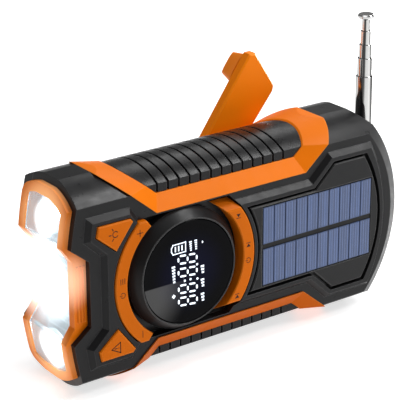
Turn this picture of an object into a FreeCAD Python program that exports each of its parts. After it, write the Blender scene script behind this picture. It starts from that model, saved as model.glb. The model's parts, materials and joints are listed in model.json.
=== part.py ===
"""Hand-cranked emergency charger: housing, lamps, display, solar panel, crank drive and whip antenna.

The model is drawn about the housing's centre: X along the housing (lamps at -X, antenna at +X),
Y through it (display at -Y, crank at +Y), Z up. save() then lifts it so that the origin is the
bottom centre of the whole object's box.
"""
import FreeCAD, Part
import math
import os
from FreeCAD import Vector

# ---------------------------------------------------------------- housing
BODY_LENGTH = 165.0
CRANK_LEFT_OF_MIDDLE = 1.5
BODY_DEPTH = 41.0
BODY_HEIGHT = 84.6
BARREL_RADIUS = 33.0
REST_FLAT_CUT = 0.4
BACK_CORNER_RADIUS = 8.0
WALL = 2.2
REAR_COVER_DEPTH = 8.5
RIGHT_END_RADIUS = 58.9
END_BEVEL_WIDTH = 5.0
END_BEVEL_DEPTH = 3.0
LEFT_END_RADIUS = 155.0
LAMP_BACK_BEVEL = 3.2
BEZEL_PROUD = 2.2
BEZEL_WAIST_PROUD = 5.6
NOTCH_DEPTH = 8.9
NOTCH_HALF_HEIGHT = 13.4
NOTCH_SLANT = 6.1
LAMP_HEAD_LENGTH = 12.7
ANTENNA_END_LENGTH = 15.0
CAVITY_HALF_HEIGHT = 24.0
CAVITY_END_ANGLE = 45.0

# ---------------------------------------------------------------- trims and grips
TRIM_CLEAR_OF_RING = 1.0
TRIM_LEFT_OF_DIAL = 12.4
TRIM_RIGHT_INSET = 52.2
TRIM_SIDE_ANGLE = 50.0
TRIM_RAISE = 0.7
TRIM_INNER_STEP = 0.5
TRIM_CREASE_STEP = 0.2
TRIM_WIDTH = 6.0
TRIM_MITRE_LEFT = 2.9
TRIM_MITRE_RIGHT = 2.8
GRIP_SETBACK = 3.8
GRIP_SINK = 2.2
GRIP_LIP = 0.4
GRIP_FIT = 0.1
CORE_SETBACK = 6.0
CORE_SINK = 4.6
CORE_WALL = 1.8
GROOVE_COUNT = 13
GROOVE_WIDTH = 1.0
GROOVE_DEPTH = 1.1
FIRST_GROOVE_INSET = 0.6
LAST_GROOVE_INSET = 5.2

# ---------------------------------------------------------------- dial, keys and buttons
DIAL_INSET = 52.5
DIAL_RECESS_RADIUS = 33.6
DIAL_RECESS_DEPTH = 4.0
DIAL_RECESS_CLEAR_OF_TRIM = 0.9
DIAL_FLOOR = 1.7
RING_RADIUS = 25.2
RING_TOP_RADIUS = 22.0
RING_HEIGHT = 8.2
RING_SHOULDER = 3.7
RING_BORE_RADIUS = 19.5
GLASS_RADIUS = 21.4
GLASS_THICKNESS = 1.4
GLASS_SINK = 0.12
GLASS_CHAMFER = 0.4
DISPLAY_WIDTH = 22.0
DISPLAY_HEIGHT = 30.0
ARC_KEY_OUTER_RADIUS = 33.0
ARC_KEY_INNER_RADIUS = 27.6
LEFT_KEY_HALF_ANGLE = 54.0
RIGHT_KEY_HALF_HEIGHT = 19.8
RIGHT_KEY_END_SLOPE = 0.6
KEY_PROUD = 0.5
KEY_TRAVEL = 0.6
KEY_STEM_RADIUS = 1.5
KEY_STEM_ANGLE = 40.0
BUTTON_PROUD = 0.8
BUTTON_TRAVEL = 0.8
BUTTON_CLEARANCE = 0.35
BUTTON_FLANGE = 1.0
BUTTON_CHAMFER = 0.4
STEM_HOLE_CLEARANCE = 0.5
PAD_HEIGHT = 2.2
PAD_CHAMFER = 2.0
CONSOLE_OUTLINE = [(-43.8, 31.3), (-24.5, 31.3), (-17.5, 21.5)]
CONSOLE_TAB_X = -45.2
CONSOLE_TAB_Z = 21.7
CONSOLE_WAIST_X = -37.9
CONSOLE_WAIST_Z = 14.8
BUTTON_OUTLINE = [(-40.0, 27.6), (-25.6, 27.6), (-24.6, 26.3), (-32.2, 16.2), (-40.9, 23.5)]
BUTTON_STEM_X = -31.7
BUTTON_STEM_Z = 21.6
DISPLAY_LEAD_RADIUS = 5.0

# ---------------------------------------------------------------- solar panel
SOLAR_HALF_HEIGHT = 19.2
SOLAR_STEP_INSET = 48.7
SOLAR_WIDE_INSET = 38.8
SOLAR_WIDE_HALF_HEIGHT = 28.5
SOLAR_RIGHT_INSET = 21.1
SOLAR_APEX_INSET = 12.8
SOLAR_RIM = 1.4
SOLAR_RIM_AT_DIAL = 1.4
SOLAR_PAD_MARGIN = 3.6
SOLAR_GROOVE = 1.2
SOLAR_SEAT_DEPTH = 0.5
CELL_RIGHT_OF_DIAL = 37.7
CELL_RIGHT_INSET = 18.5
CELL_HALF_HEIGHT = 16.7
CELL_COLUMNS = 10
CELL_GAP = 0.45
CELL_MIDDLE_GAP = 2.3
CELL_THICKNESS = 0.4
SOLAR_BOARD_THICKNESS = 0.8
SOLAR_BOARD_MARGIN = 0.6

# ---------------------------------------------------------------- lamps
BEZEL_RIM = 2.8
BEZEL_FIT = 0.1
BEZEL_WALL = 2.0
BEZEL_FACE = 3.8
BULKHEAD = 2.2
RIB_COUNT = 3
RIB_PITCH = 1.4
RIB_WIDTH = 0.7
RIB_HEIGHT = 0.5
RIB_HALF_LENGTH = 11.5
FIRST_RIB_INSET = 1.0
LAMP_BELOW_TOP = 14.2
LENS_SINK = 0.8
LENS_RIM = 1.2
LENS_RIM_THICKNESS = 1.0
REFLECTOR_MOUTH_RADIUS = 7.8
REFLECTOR_HUB_RADIUS = 4.0
REFLECTOR_WALL = 0.8
REFLECTOR_HUB_LENGTH = 1.2
LAMP_BOARD_WIDTH = 23.0
LAMP_BOARD_CLEARANCE = 0.3
LAMP_BOARD_THICKNESS = 1.2
LED_SIZE = 3.5
LED_BASE = 0.9
LED_DOME_RADIUS = 1.5

# ---------------------------------------------------------------- crank
CRANK_REST_ANGLE = 52.7
CRANK_GAP = 1.0
ARM_THICKNESS = 5.0
ARM_LENGTH = 68.8
ARM_HUB_HALF_WIDTH = 8.4
ARM_TIP_HALF_WIDTH = 10.5
ARM_TIP_SLANT = 19.9
ARM_CORNER = 2.4
ARM_CHAMFER = 0.7
HUB_RADIUS = 11.0
HUB_BOSS_RADIUS = 8.0
HUB_BOSS_HEIGHT = 2.0
SHAFT_RADIUS = 3.0
RUNNING_FIT = 0.05
BUSH_RADIUS = 4.5
BUSH_FLANGE_RADIUS = 6.2
BUSH_FLANGE = 1.0
BUSH_BOSS_LENGTH = 1.4
BUSH_BOSS_RADIUS = 7.5
CRANK_SCREW_RADIUS = 1.5
CRANK_SCREW_HEAD_RADIUS = 3.4
CRANK_SCREW_HEAD = 1.8
CRANK_SLOT_WIDTH = 0.8
CRANK_SLOT_LENGTH = 4.0
CRANK_SCREW_LENGTH = 7.0
KNOB_REACH = 66.8
KNOB_BASE_LENGTH = 13.2
KNOB_BASE_WIDTH = 15.4
KNOB_TOP_LENGTH = 10.0
KNOB_TOP_WIDTH = 12.0
KNOB_HEIGHT = 10.6
KNOB_GAP = 0.4
KNOB_CHAMFER = 0.8
KNOB_CORNER = 2.4
KNOB_PIN_RADIUS = 2.0
KNOB_PIN_HEAD_RADIUS = 3.2
KNOB_PIN_HEAD = 1.2
KNOB_COUNTERBORE = 1.9

# ---------------------------------------------------------------- gear train and generator
GEAR_MODULE = 0.7
PRESSURE_ANGLE = 20.0
ADDENDUM_FACTOR = 0.8
DEDENDUM_FACTOR = 1.1
BACKLASH = 0.14
CRANK_TEETH = 56
IDLER_PINION_TEETH = 14
IDLER_WHEEL_TEETH = 42
GENERATOR_TEETH = 14
GEAR_FACE = 3.0
GEAR_SPACING = 0.9
GEAR_END_GAP = 0.4
LIGHTENING_REACH = 11.5
LIGHTENING_RADIUS = 3.5
IDLER_COLLAR_RADIUS = 4.0
PLATE_THICKNESS = 1.6
PLATE_POSTS = [(-24.4, 0.0), (14.0, 21.0), (56.0, 12.0), (56.0, -12.0)]
POST_RADIUS = 2.7
IDLER_PIN_RADIUS = 1.5
GENERATOR_RADIUS = 11.5
GENERATOR_BOARD_GAP = 2.8
GENERATOR_WALL = 1.2
ROTOR_SHAFT_RADIUS = 1.0
ROTOR_RADIUS = 9.0
ROTOR_END_GAP = 1.3

# ---------------------------------------------------------------- boards, battery, speaker, sockets
BOARD_THICKNESS = 1.6
BOARD_STANDOFF = 2.5
BOARD_LEFT_INSET = 4.8
BOARD_RIGHT_INSET = 13.0
BOARD_HALF_HEIGHT = 23.0
BOARD_POST_Z = 19.5
BOARD_POST_RIGHT_OF_DIAL = 10.5
BOARD_POST_RIGHT_INSET = 34.0
BOARD_POST_RADIUS = 2.5
SWITCH_SIZE = 4.5
SWITCH_BASE = 1.1
SWITCH_PLUNGER_RADIUS = 1.1
SWITCH_PLUNGER = 0.6
STEM_GAP = 0.1
BATTERY_RADIUS = 9.1
BATTERY_LENGTH = 65.0
BATTERY_X = 4.5
BATTERY_CAP_RADIUS = 4.0
BATTERY_CAP = 1.5
CRADLE_WALL = 2.0
CRADLE_BASE = 2.7
CRADLE_COUNT = 3
CRADLE_PITCH = 24.0
BATTERY_Y = 0.5
SPEAKER_INSET = 35.0
SPEAKER_RADIUS = 16.5
SPEAKER_RIM = 2.0
SPEAKER_MAGNET_RADIUS = 9.0
SPEAKER_MAGNET = 4.0
SPEAKER_CONE_DEPTH = 3.5
GRILLE_SLOTS = 7
GRILLE_PITCH = 3.6
GRILLE_SLOT_WIDTH = 1.4
GRILLE_RADIUS = 14.0
CASE_SCREW_Z = 20.5
CASE_SCREW_RIGHT_OF_SPEAKER = 6.0
CASE_SCREW_RIGHT_INSET = 24.0
CASE_BOSS_RADIUS = 3.0
CASE_SCREW_RADIUS = 1.3
CASE_SCREW_HEAD_RADIUS = 2.5
CASE_SCREW_HEAD = 1.6
CASE_SCREW_SINK = 3.4
CASE_SCREW_LENGTH = 11.0
SMALL_SCREW_RADIUS = 1.0
SMALL_SCREW_HEAD_RADIUS = 1.9
SMALL_SCREW_HEAD = 1.2
SMALL_SCREW_LENGTH = 5.0
SCREW_PILOT_CLEARANCE = 0.1

# ---------------------------------------------------------------- antenna
ANTENNA_Y = -3.5
ANTENNA_AXIS_INSET = 6.8
ANTENNA_PIVOT_Z = -6.0
ANTENNA_KNUCKLE_BELOW = 4.0
ANTENNA_KNUCKLE_TOP = 2.0
ANTENNA_SLOT_GAP = 0.6
ANTENNA_SLOT_SWING = 0.3
ANTENNA_SLOT_BELOW = 6.5
ANTENNA_PIN_RADIUS = 1.2
ANTENNA_PIN_REACH = 3.0
TUBE_OUTER_RADIUS = 3.55
TUBE_STEP = 0.475
TUBE_FIT = 0.05
TUBE_LENGTH = 52.4
TUBE_SHORTENING = 1.2
SECOND_TUBE_REVEAL = 7.8
MIDDLE_TUBE_REVEAL = 5.8
LAST_TUBE_REVEAL = 5.0
TUBE_CHAMFER = 0.25
TIP_RADIUS = 3.6
TIP_HEIGHT = 2.0
TIP_CHAMFER = 0.6

# ---------------------------------------------------------------- sockets under the rubber cover
PORT_Y = -3.5
PORT_COVER_WIDTH = 18.0
PORT_COVER_LOW_Z = -34.0
PORT_COVER_HIGH_Z = -16.0
PORT_COVER_THICKNESS = 1.5
PORT_COVER_GAP = 0.5
PORT_LARGE_Z = -20.0
PORT_LARGE_WIDTH = 13.2
PORT_LARGE_HEIGHT = 5.8
PORT_LARGE_DEPTH = 12.0
PORT_SMALL_Z = -28.5
PORT_SMALL_WIDTH = 9.0
PORT_SMALL_HEIGHT = 3.3
PORT_SMALL_DEPTH = 7.5
PORT_WALL = 0.4
PORT_TONGUE = 1.2
PORT_COVER_SIDE_GAP = 0.2
PORT_MOUTH_SINK = 0.5

# ---------------------------------------------------------------- derived places
TOUCH = 1e-4
FACE_Y = -BODY_DEPTH / 2
BACK_Y = BODY_DEPTH / 2
HALF_HEIGHT = BODY_HEIGHT / 2
RIGHT_X = BODY_LENGTH / 2 + CRANK_LEFT_OF_MIDDLE
LEFT_X = RIGHT_X - BODY_LENGTH
BARREL_Z = HALF_HEIGHT + REST_FLAT_CUT - BARREL_RADIUS
SPLIT_Y = BACK_Y - REAR_COVER_DEPTH
INNER_FRONT_Y = FACE_Y + WALL
INNER_BACK_Y = BACK_Y - WALL
PAD_Y = FACE_Y - PAD_HEIGHT
DIAL_FLOOR_Y = FACE_Y + DIAL_RECESS_DEPTH
DIAL_CUP_Y = DIAL_FLOOR_Y + DIAL_FLOOR
SLOPE = math.tan(math.radians(TRIM_SIDE_ANGLE))
REACH = 2 * BODY_HEIGHT
LOBE_Z = NOTCH_HALF_HEIGHT + NOTCH_SLANT
LAMP_EDGE_X = LEFT_X - LEFT_END_RADIUS + math.sqrt((LEFT_END_RADIUS + BEZEL_PROUD) ** 2 - LOBE_Z ** 2)
LAMP_BACK_Y = BACK_Y - LAMP_BACK_BEVEL
LAMP_Y = (FACE_Y + LAMP_BACK_Y) / 2
CAVITY_LEFT_X = LEFT_X + LAMP_HEAD_LENGTH
CAVITY_RIGHT_X = RIGHT_X - ANTENNA_END_LENGTH
BULKHEAD_X = CAVITY_LEFT_X - BULKHEAD
DIAL_X = LEFT_X + DIAL_INSET
TRIM_EDGE_Z = RING_RADIUS + TRIM_CLEAR_OF_RING
TRIM_LEFT_X = DIAL_X - TRIM_LEFT_OF_DIAL
TRIM_RIGHT_X = RIGHT_X - TRIM_RIGHT_INSET
GRIP_EDGE_Z = TRIM_EDGE_Z + TRIM_WIDTH
GRIP_LEFT_X = TRIM_LEFT_X + TRIM_MITRE_LEFT
GRIP_RIGHT_X = TRIM_RIGHT_X - TRIM_MITRE_RIGHT
FIRST_GROOVE_X = GRIP_LEFT_X + FIRST_GROOVE_INSET
GROOVE_PITCH = (GRIP_RIGHT_X - LAST_GROOVE_INSET - FIRST_GROOVE_X) / (GROOVE_COUNT - 1)
DIAL_RECESS_HALF_HEIGHT = TRIM_EDGE_Z - DIAL_RECESS_CLEAR_OF_TRIM
SOLAR_STEP_X = RIGHT_X - SOLAR_STEP_INSET
SOLAR_WIDE_X = RIGHT_X - SOLAR_WIDE_INSET
SOLAR_RIGHT_X = RIGHT_X - SOLAR_RIGHT_INSET
SOLAR_APEX_X = RIGHT_X - SOLAR_APEX_INSET
CELL_LEFT_X = DIAL_X + CELL_RIGHT_OF_DIAL
CELL_RIGHT_X = RIGHT_X - CELL_RIGHT_INSET
LAMP_Z = HALF_HEIGHT - LAMP_BELOW_TOP
BOARD_LEFT_X = CAVITY_LEFT_X + BOARD_LEFT_INSET
BOARD_RIGHT_X = CAVITY_RIGHT_X - BOARD_RIGHT_INSET
BOARD_POST_XS = (DIAL_X + BOARD_POST_RIGHT_OF_DIAL, RIGHT_X - BOARD_POST_RIGHT_INSET)
BOARD_POSTS = [(x, z) for x in BOARD_POST_XS for z in (BOARD_POST_Z, -BOARD_POST_Z)]
SPEAKER_X = LEFT_X + SPEAKER_INSET
CASE_SCREW_XS = (SPEAKER_X + CASE_SCREW_RIGHT_OF_SPEAKER, RIGHT_X - CASE_SCREW_RIGHT_INSET)
CASE_SCREWS = [(x, z) for x in CASE_SCREW_XS for z in (CASE_SCREW_Z, -CASE_SCREW_Z)]
CORE_HALF_DEPTH = BODY_DEPTH / 2 - CORE_SETBACK
CORE_RADIUS = BARREL_RADIUS - CORE_SINK
INNER_HALF_DEPTH = CORE_HALF_DEPTH - CORE_WALL
INNER_RADIUS = CORE_RADIUS - CORE_WALL
BATTERY_Z = BATTERY_RADIUS + CRADLE_BASE - BARREL_Z - INNER_RADIUS
RIGHT_END_CENTRE_X = RIGHT_X - RIGHT_END_RADIUS
ARM_Y = BACK_Y + CRANK_GAP
ARM_BACK_Y = ARM_Y + ARM_THICKNESS
KNOB_Y = ARM_BACK_Y + KNOB_GAP
KNOB_BACK_Y = KNOB_Y + KNOB_HEIGHT
RING_TOP_Y = DIAL_FLOOR_Y - RING_HEIGHT
GLASS_TOP_Y = RING_TOP_Y + GLASS_SINK
BOX_CENTRE_Y = (RING_TOP_Y + KNOB_BACK_Y) / 2
BOARD_Y = DIAL_CUP_Y + BOARD_STANDOFF
ANTENNA_X = RIGHT_X - ANTENNA_AXIS_INSET
TUBE_REVEALS = [0.0, SECOND_TUBE_REVEAL, MIDDLE_TUBE_REVEAL, MIDDLE_TUBE_REVEAL, LAST_TUBE_REVEAL]
BUSH_BACK_Y = INNER_BACK_Y - BUSH_BOSS_LENGTH
FIRST_MESH_Y = BUSH_BACK_Y - BUSH_FLANGE - GEAR_END_GAP - GEAR_FACE
SECOND_MESH_Y = FIRST_MESH_Y - GEAR_SPACING - GEAR_FACE
PLATE_Y = SECOND_MESH_Y - GEAR_SPACING - PLATE_THICKNESS
GENERATOR_LENGTH = PLATE_Y - BOARD_Y - BOARD_THICKNESS - GENERATOR_BOARD_GAP
ROTOR_LENGTH = GENERATOR_LENGTH - 2 * (GENERATOR_WALL + ROTOR_END_GAP)


# ---------------------------------------------------------------- helpers
def save(name, shape):
    """Write one node, lifted from the drawing frame to the object's own frame."""
    placed = shape.copy()
    placed.translate(Vector(-CRANK_LEFT_OF_MIDDLE, -BOX_CENTRE_Y, HALF_HEIGHT))
    placed.exportStep("parts/" + name + ".step")


def polygon_face(points, to_vector):
    """A flat face through 2-D points, placed by to_vector."""
    corners = [to_vector(a, b) for a, b in points]
    return Part.Face(Part.makePolygon(corners + corners[:1]))


def front_prism(points, y_start, y_end):
    """A prism along Y from an outline given as (x, z) points."""
    face = polygon_face(points, lambda x, z: Vector(x, y_start, z))
    return face.extrude(Vector(0, y_end - y_start, 0))


def rod_y(x, z, radius, y_start, y_end):
    """A round rod along Y."""
    return Part.makeCylinder(radius, y_end - y_start, Vector(x, y_start, z), Vector(0, 1, 0))


def rod_x(x_start, x_end, y, z, radius):
    """A round rod along X."""
    return Part.makeCylinder(radius, x_end - x_start, Vector(x_start, y, z), Vector(1, 0, 0))


def rod_z(x, y, z_start, z_end, radius):
    """A round rod along Z."""
    return Part.makeCylinder(radius, z_end - z_start, Vector(x, y, z_start))


def block(x, y, z):
    """A box from three (low, high) spans."""
    return Part.makeBox(x[1] - x[0], y[1] - y[0], z[1] - z[0], Vector(x[0], y[0], z[0]))


def centred(middle, size):
    """The (low, high) span of a size about a middle."""
    return (middle - size / 2, middle + size / 2)


def mirrored_z(shape):
    """The shape reflected in the housing's middle plane."""
    return shape.mirror(Vector(0, 0, 0), Vector(0, 0, 1))


def fuse_all(shapes):
    """One shape from many, with its seams removed."""
    first = shapes[0]
    return first.multiFuse(shapes[1:]).removeSplitter() if len(shapes) > 1 else first


def both_halves(points):
    """An outline of (x, z) points above the middle, closed by its reflection below."""
    return points + [(x, -z) for x, z in reversed(points)]


def chamfered(shape, size, wanted):
    """The shape with a chamfer on every edge that wanted() picks."""
    return shape.makeChamfer(size, [edge for edge in shape.Edges if wanted(edge)])


def edge_at_y(y):
    """A test for edges that lie in the plane at y."""
    def wanted(edge):
        box = edge.BoundBox
        return abs(box.YMin - y) < TOUCH and abs(box.YMax - y) < TOUCH
    return wanted


# ---------------------------------------------------------------- barrel sections
def circle_height(radius, y):
    """Height of a barrel circle of this radius above the middle, at y."""
    return BARREL_Z + math.sqrt(radius ** 2 - y ** 2)


def barrel_wire(inset, x_start, back_y=BACK_Y):
    """The housing's section at x_start with its back at back_y, brought in by inset on every side."""
    radius = BARREL_RADIUS - inset
    front = FACE_Y + inset
    back = back_y - inset
    top = HALF_HEIGHT - inset
    corner = BACK_CORNER_RADIUS - inset
    flat = math.sqrt(radius ** 2 - (top - BARREL_Z) ** 2)
    corner_y = back - corner
    corner_z = BARREL_Z + math.sqrt((radius - corner) ** 2 - corner_y ** 2)
    tangent = math.atan2(corner_y, corner_z - BARREL_Z)

    def at(y, z):
        return Vector(x_start, y, z)

    def on_circle(angle):
        return at(radius * math.sin(angle), BARREL_Z + radius * math.cos(angle))

    front_angle = math.asin(front / radius)
    flat_angle = math.asin(flat / radius)
    corner_middle = (tangent + math.pi / 2) / 2
    upper = [
        Part.Arc(on_circle(front_angle), on_circle((front_angle - flat_angle) / 2),
                 on_circle(-flat_angle)).toShape(),
        Part.makeLine(on_circle(-flat_angle), on_circle(flat_angle)),
        Part.Arc(on_circle(flat_angle), on_circle((flat_angle + tangent) / 2),
                 on_circle(tangent)).toShape(),
        Part.Arc(on_circle(tangent),
                 at(corner_y + corner * math.sin(corner_middle), corner_z + corner * math.cos(corner_middle)),
                 at(back, corner_z)).toShape(),
    ]
    front_z = circle_height(radius, front)
    edges = upper + [mirrored_z(edge) for edge in upper]
    edges.append(Part.makeLine(at(front, -front_z), at(front, front_z)))
    edges.append(Part.makeLine(at(back, corner_z), at(back, -corner_z)))
    return Part.Wire(Part.__sortEdges__(edges))


def barrel_prism(inset, x_start, x_end, back_y=BACK_Y):
    """The housing's section, brought in by inset on every side, run along X."""
    return Part.Face(barrel_wire(inset, x_start, back_y)).extrude(Vector(x_end - x_start, 0, 0))


def lamp_prism(inset):
    """The section of everything in the lamp end, from beyond the end to the bulkhead."""
    return barrel_prism(inset, LEFT_X - WALL, BULKHEAD_X, LAMP_BACK_Y)


def plain_barrel(half_depth, radius, x_start, x_end):
    """A barrel section with flat faces at plus and minus half_depth and no flats or back corners."""
    corner_z = circle_height(radius, half_depth)

    def at(y, z):
        return Vector(x_start, y, z)

    arch = Part.Arc(at(-half_depth, corner_z), at(0, BARREL_Z + radius), at(half_depth, corner_z)).toShape()
    edges = [arch, mirrored_z(arch)]
    edges += [Part.makeLine(at(y, -corner_z), at(y, corner_z)) for y in (-half_depth, half_depth)]
    return Part.Face(Part.Wire(Part.__sortEdges__(edges))).extrude(Vector(x_end - x_start, 0, 0))


# ---------------------------------------------------------------- outlines seen from the front
def lamp_end_edges(y, proud, waist_proud):
    """The lamp end's outline, proud of the housing's at the lobes and waist_proud of it between them."""
    half = HALF_HEIGHT + WALL
    waist_x = LAMP_EDGE_X + NOTCH_DEPTH - waist_proud

    def on_arc(z):
        reach = math.sqrt((LEFT_END_RADIUS + proud) ** 2 - z ** 2)
        return Vector(LAMP_EDGE_X + LEFT_END_RADIUS - reach, y, z)

    corner = Vector(waist_x, y, NOTCH_HALF_HEIGHT)
    lobe = Part.Arc(on_arc(half), on_arc((half + LOBE_Z) / 2), on_arc(LOBE_Z)).toShape()
    slant = Part.makeLine(on_arc(LOBE_Z), corner)
    waist = Part.makeLine(corner, Vector(waist_x, y, -NOTCH_HALF_HEIGHT))
    return [lobe, slant, waist, mirrored_z(lobe), mirrored_z(slant)], on_arc(half).x


def end_wire(y, radius, proud=0.0):
    """The housing's outline seen from the front, with an arc of this radius at the antenna end."""
    half = HALF_HEIGHT + WALL
    right_x = RIGHT_END_CENTRE_X + math.sqrt(radius ** 2 - half ** 2)
    edges, left_x = lamp_end_edges(y, proud, proud)
    edges += [Part.makeLine(Vector(left_x, y, z), Vector(right_x, y, z)) for z in (half, -half)]
    tip = Vector(RIGHT_END_CENTRE_X + radius, y, 0)
    edges.append(Part.Arc(Vector(right_x, y, half), tip, Vector(right_x, y, -half)).toShape())
    return Part.Wire(Part.__sortEdges__(edges))


def end_limits():
    """The solid that gives both ends their outline, bevelled in front and at the lamp end's back."""
    bevel_y = FACE_Y + END_BEVEL_DEPTH
    full = end_wire(bevel_y, RIGHT_END_RADIUS)
    front = Part.makeLoft([end_wire(FACE_Y, RIGHT_END_RADIUS - END_BEVEL_WIDTH), full], True, True)
    rear_wires = [end_wire(LAMP_BACK_Y, RIGHT_END_RADIUS),
                  end_wire(BACK_Y, RIGHT_END_RADIUS, -LAMP_BACK_BEVEL)]
    middle = Part.Face(full).extrude(Vector(0, LAMP_BACK_Y - bevel_y, 0))
    return fuse_all([front, middle, Part.makeLoft(rear_wires, True, True)])


def band_prism(edge_z, left_x, right_x, margin=0.0):
    """The trapezoid, seen from the front, that a trim or a grip fills above edge_z."""
    rise = REACH - edge_z
    points = [
        (left_x + margin, edge_z + margin),
        (right_x - margin, edge_z + margin),
        (right_x - margin + SLOPE * rise, edge_z + rise),
        (left_x + margin - SLOPE * rise, edge_z + rise),
    ]
    return front_prism(points, -BODY_DEPTH, BODY_DEPTH)


def core_barrel():
    """The sunk barrel that the trims and grips are seated on."""
    return plain_barrel(CORE_HALF_DEPTH, CORE_RADIUS, LEFT_X, RIGHT_X)


# ---------------------------------------------------------------- trims and grips
def skin_section(raise_by, sunk, left):
    """One closed section of the trims' outer skin.

    A sunk section lies on the trims' inner edge, and any other on their outer edge. Above the trim's
    edge the section leans outwards with the trim's sides.
    """
    half = -FACE_Y + raise_by
    side = -1 if left else 1
    outer_x = TRIM_LEFT_X if left else TRIM_RIGHT_X
    if sunk:
        outer_x -= side * TRIM_CREASE_STEP
        set_back = GRIP_SETBACK
        radius = BARREL_RADIUS - GRIP_SINK + TRIM_INNER_STEP
        start_x = GRIP_LEFT_X if left else GRIP_RIGHT_X
        start_z = GRIP_EDGE_Z
    else:
        set_back = 0.0
        radius = BARREL_RADIUS + raise_by
        start_x = outer_x
        start_z = TRIM_EDGE_Z
    shoulder_y = -FACE_Y - set_back if sunk else half
    shoulder_z = circle_height(radius, shoulder_y)
    knee_z = GRIP_EDGE_Z if sunk else (TRIM_EDGE_Z + shoulder_z) / 2

    def at(y, z):
        lean = SLOPE * max(0.0, abs(z) - start_z)
        edge_x = start_x if z > TRIM_EDGE_Z else outer_x
        return Vector(edge_x + side * lean, y, z)

    arch_points = []
    steps = 12
    shoulder_angle = math.asin(shoulder_y / radius)
    for i in range(steps + 1):
        angle = shoulder_angle * (2 * i / steps - 1)
        arch_points.append(at(radius * math.sin(angle), BARREL_Z + radius * math.cos(angle)))
    arch = Part.BSplineCurve()
    arch.interpolate(arch_points)
    front = [at(-half, TRIM_EDGE_Z), at(-shoulder_y, knee_z), arch_points[0]]
    back = [arch_points[-1], at(shoulder_y, knee_z), at(half, TRIM_EDGE_Z)]
    upper = [Part.makeLine(front[0], front[1]), Part.makeLine(front[1], front[2]), arch.toShape()]
    upper += [Part.makeLine(back[0], back[1]), Part.makeLine(back[1], back[2])]
    base = Part.makeLine(back[2], front[0])
    return Part.Wire(upper + [base])


def trim_skin():
    """A solid whose outer surface is that of the top trim, ramps and front chamfer included."""
    far_left = skin_section(TRIM_RAISE, False, True)
    far_right = skin_section(TRIM_RAISE, False, False)
    sunk_left = skin_section(TRIM_RAISE, True, True)
    sunk_right = skin_section(TRIM_RAISE, True, False)
    return Part.makeLoft([far_left, sunk_left, sunk_right, far_right], True, True)


def make_trim():
    """The orange frame round the top grip, wrapping the barrel from front to back."""
    trim = trim_skin().cut(band_prism(GRIP_EDGE_Z, GRIP_LEFT_X, GRIP_RIGHT_X)).cut(core_barrel())
    slab = block((-REACH, REACH), (-REACH, REACH), (0, HALF_HEIGHT))
    return trim.common(slab)


def make_grip():
    """The ribbed black grip inside the top trim."""
    radius = BARREL_RADIUS - GRIP_SINK
    half_depth = -FACE_Y - GRIP_SETBACK - GRIP_LIP
    grip = plain_barrel(half_depth, radius, LEFT_X, RIGHT_X)
    grip = grip.common(band_prism(GRIP_EDGE_Z, GRIP_LEFT_X, GRIP_RIGHT_X, GRIP_FIT)).cut(core_barrel())
    floor = plain_barrel(half_depth - GROOVE_DEPTH, radius - GROOVE_DEPTH, LEFT_X, RIGHT_X)
    for i in range(GROOVE_COUNT):
        x = FIRST_GROOVE_X + i * GROOVE_PITCH
        slice_block = block(centred(x, GROOVE_WIDTH), (-BODY_DEPTH, BODY_DEPTH), (0, BODY_HEIGHT))
        grip = grip.cut(slice_block.cut(floor))
    return grip


# ---------------------------------------------------------------- outlines on the front
def dial_at(x, z):
    """A front outline point given from the dial's centre."""
    return (DIAL_X + x, z)


def console_outline():
    """The raised console round the lamp and alarm buttons."""
    upper = [dial_at(x, z) for x, z in reversed(CONSOLE_OUTLINE)]
    upper += [dial_at(CONSOLE_TAB_X, CONSOLE_TAB_Z), dial_at(CONSOLE_WAIST_X, CONSOLE_WAIST_Z)]
    return both_halves(upper)


def solar_wire(y, margin):
    """The solar panel's outline, grown by margin, reaching left into the dial's circle."""
    inner_x = DIAL_X + RING_BORE_RADIUS
    half = SOLAR_HALF_HEIGHT + margin
    wide = SOLAR_WIDE_HALF_HEIGHT + margin
    shift = margin * math.tan(math.radians(TRIM_SIDE_ANGLE / 2))
    upper = [(inner_x, half), (SOLAR_STEP_X - shift, half), (SOLAR_WIDE_X - shift, wide),
             (SOLAR_RIGHT_X + margin, wide)]
    points = [Vector(x, y, z) for x, z in upper]
    lines = [Part.makeLine(a, b) for a, b in zip(points, points[1:])]
    low = [mirrored_z(line) for line in lines]
    end = Part.Arc(points[-1], Vector(SOLAR_APEX_X + margin, y, 0), Vector(points[-1].x, y, -wide)).toShape()
    side = Part.makeLine(Vector(inner_x, y, -half), points[0])
    return Part.Wire(Part.__sortEdges__(lines + low + [end, side]))


def solar_prism(margin, y_start, y_end):
    """The solar outline run along Y."""
    return Part.Face(solar_wire(y_start, margin)).extrude(Vector(0, y_end - y_start, 0))


def raised_pads():
    """The console and the solar surround: plates with a wide chamfer, standing on the front face."""
    console = front_prism(console_outline(), PAD_Y, FACE_Y + WALL / 2)
    console = chamfered(console, PAD_CHAMFER, edge_at_y(PAD_Y))
    console = console.cut(dial_rod(DIAL_RECESS_RADIUS, PAD_Y, BACK_Y))
    surround = solar_prism(SOLAR_PAD_MARGIN, PAD_Y, FACE_Y + WALL / 2)
    surround = chamfered(surround, PAD_CHAMFER, edge_at_y(PAD_Y))
    return [console, surround]


def button_prism(margin, y_start, y_end):
    """The lamp button's outline, grown by margin, run along Y."""
    points = [dial_at(x, z) for x, z in BUTTON_OUTLINE]
    wire = Part.makePolygon([Vector(x, y_start, z) for x, z in points + points[:1]])
    if margin:
        wire = wire.makeOffset2D(margin, 2)
    return Part.Face(wire).extrude(Vector(0, y_end - y_start, 0))


def dial_rod(radius, y_start, y_end):
    """A round rod on the dial's axis."""
    return rod_y(DIAL_X, 0, radius, y_start, y_end)


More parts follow.
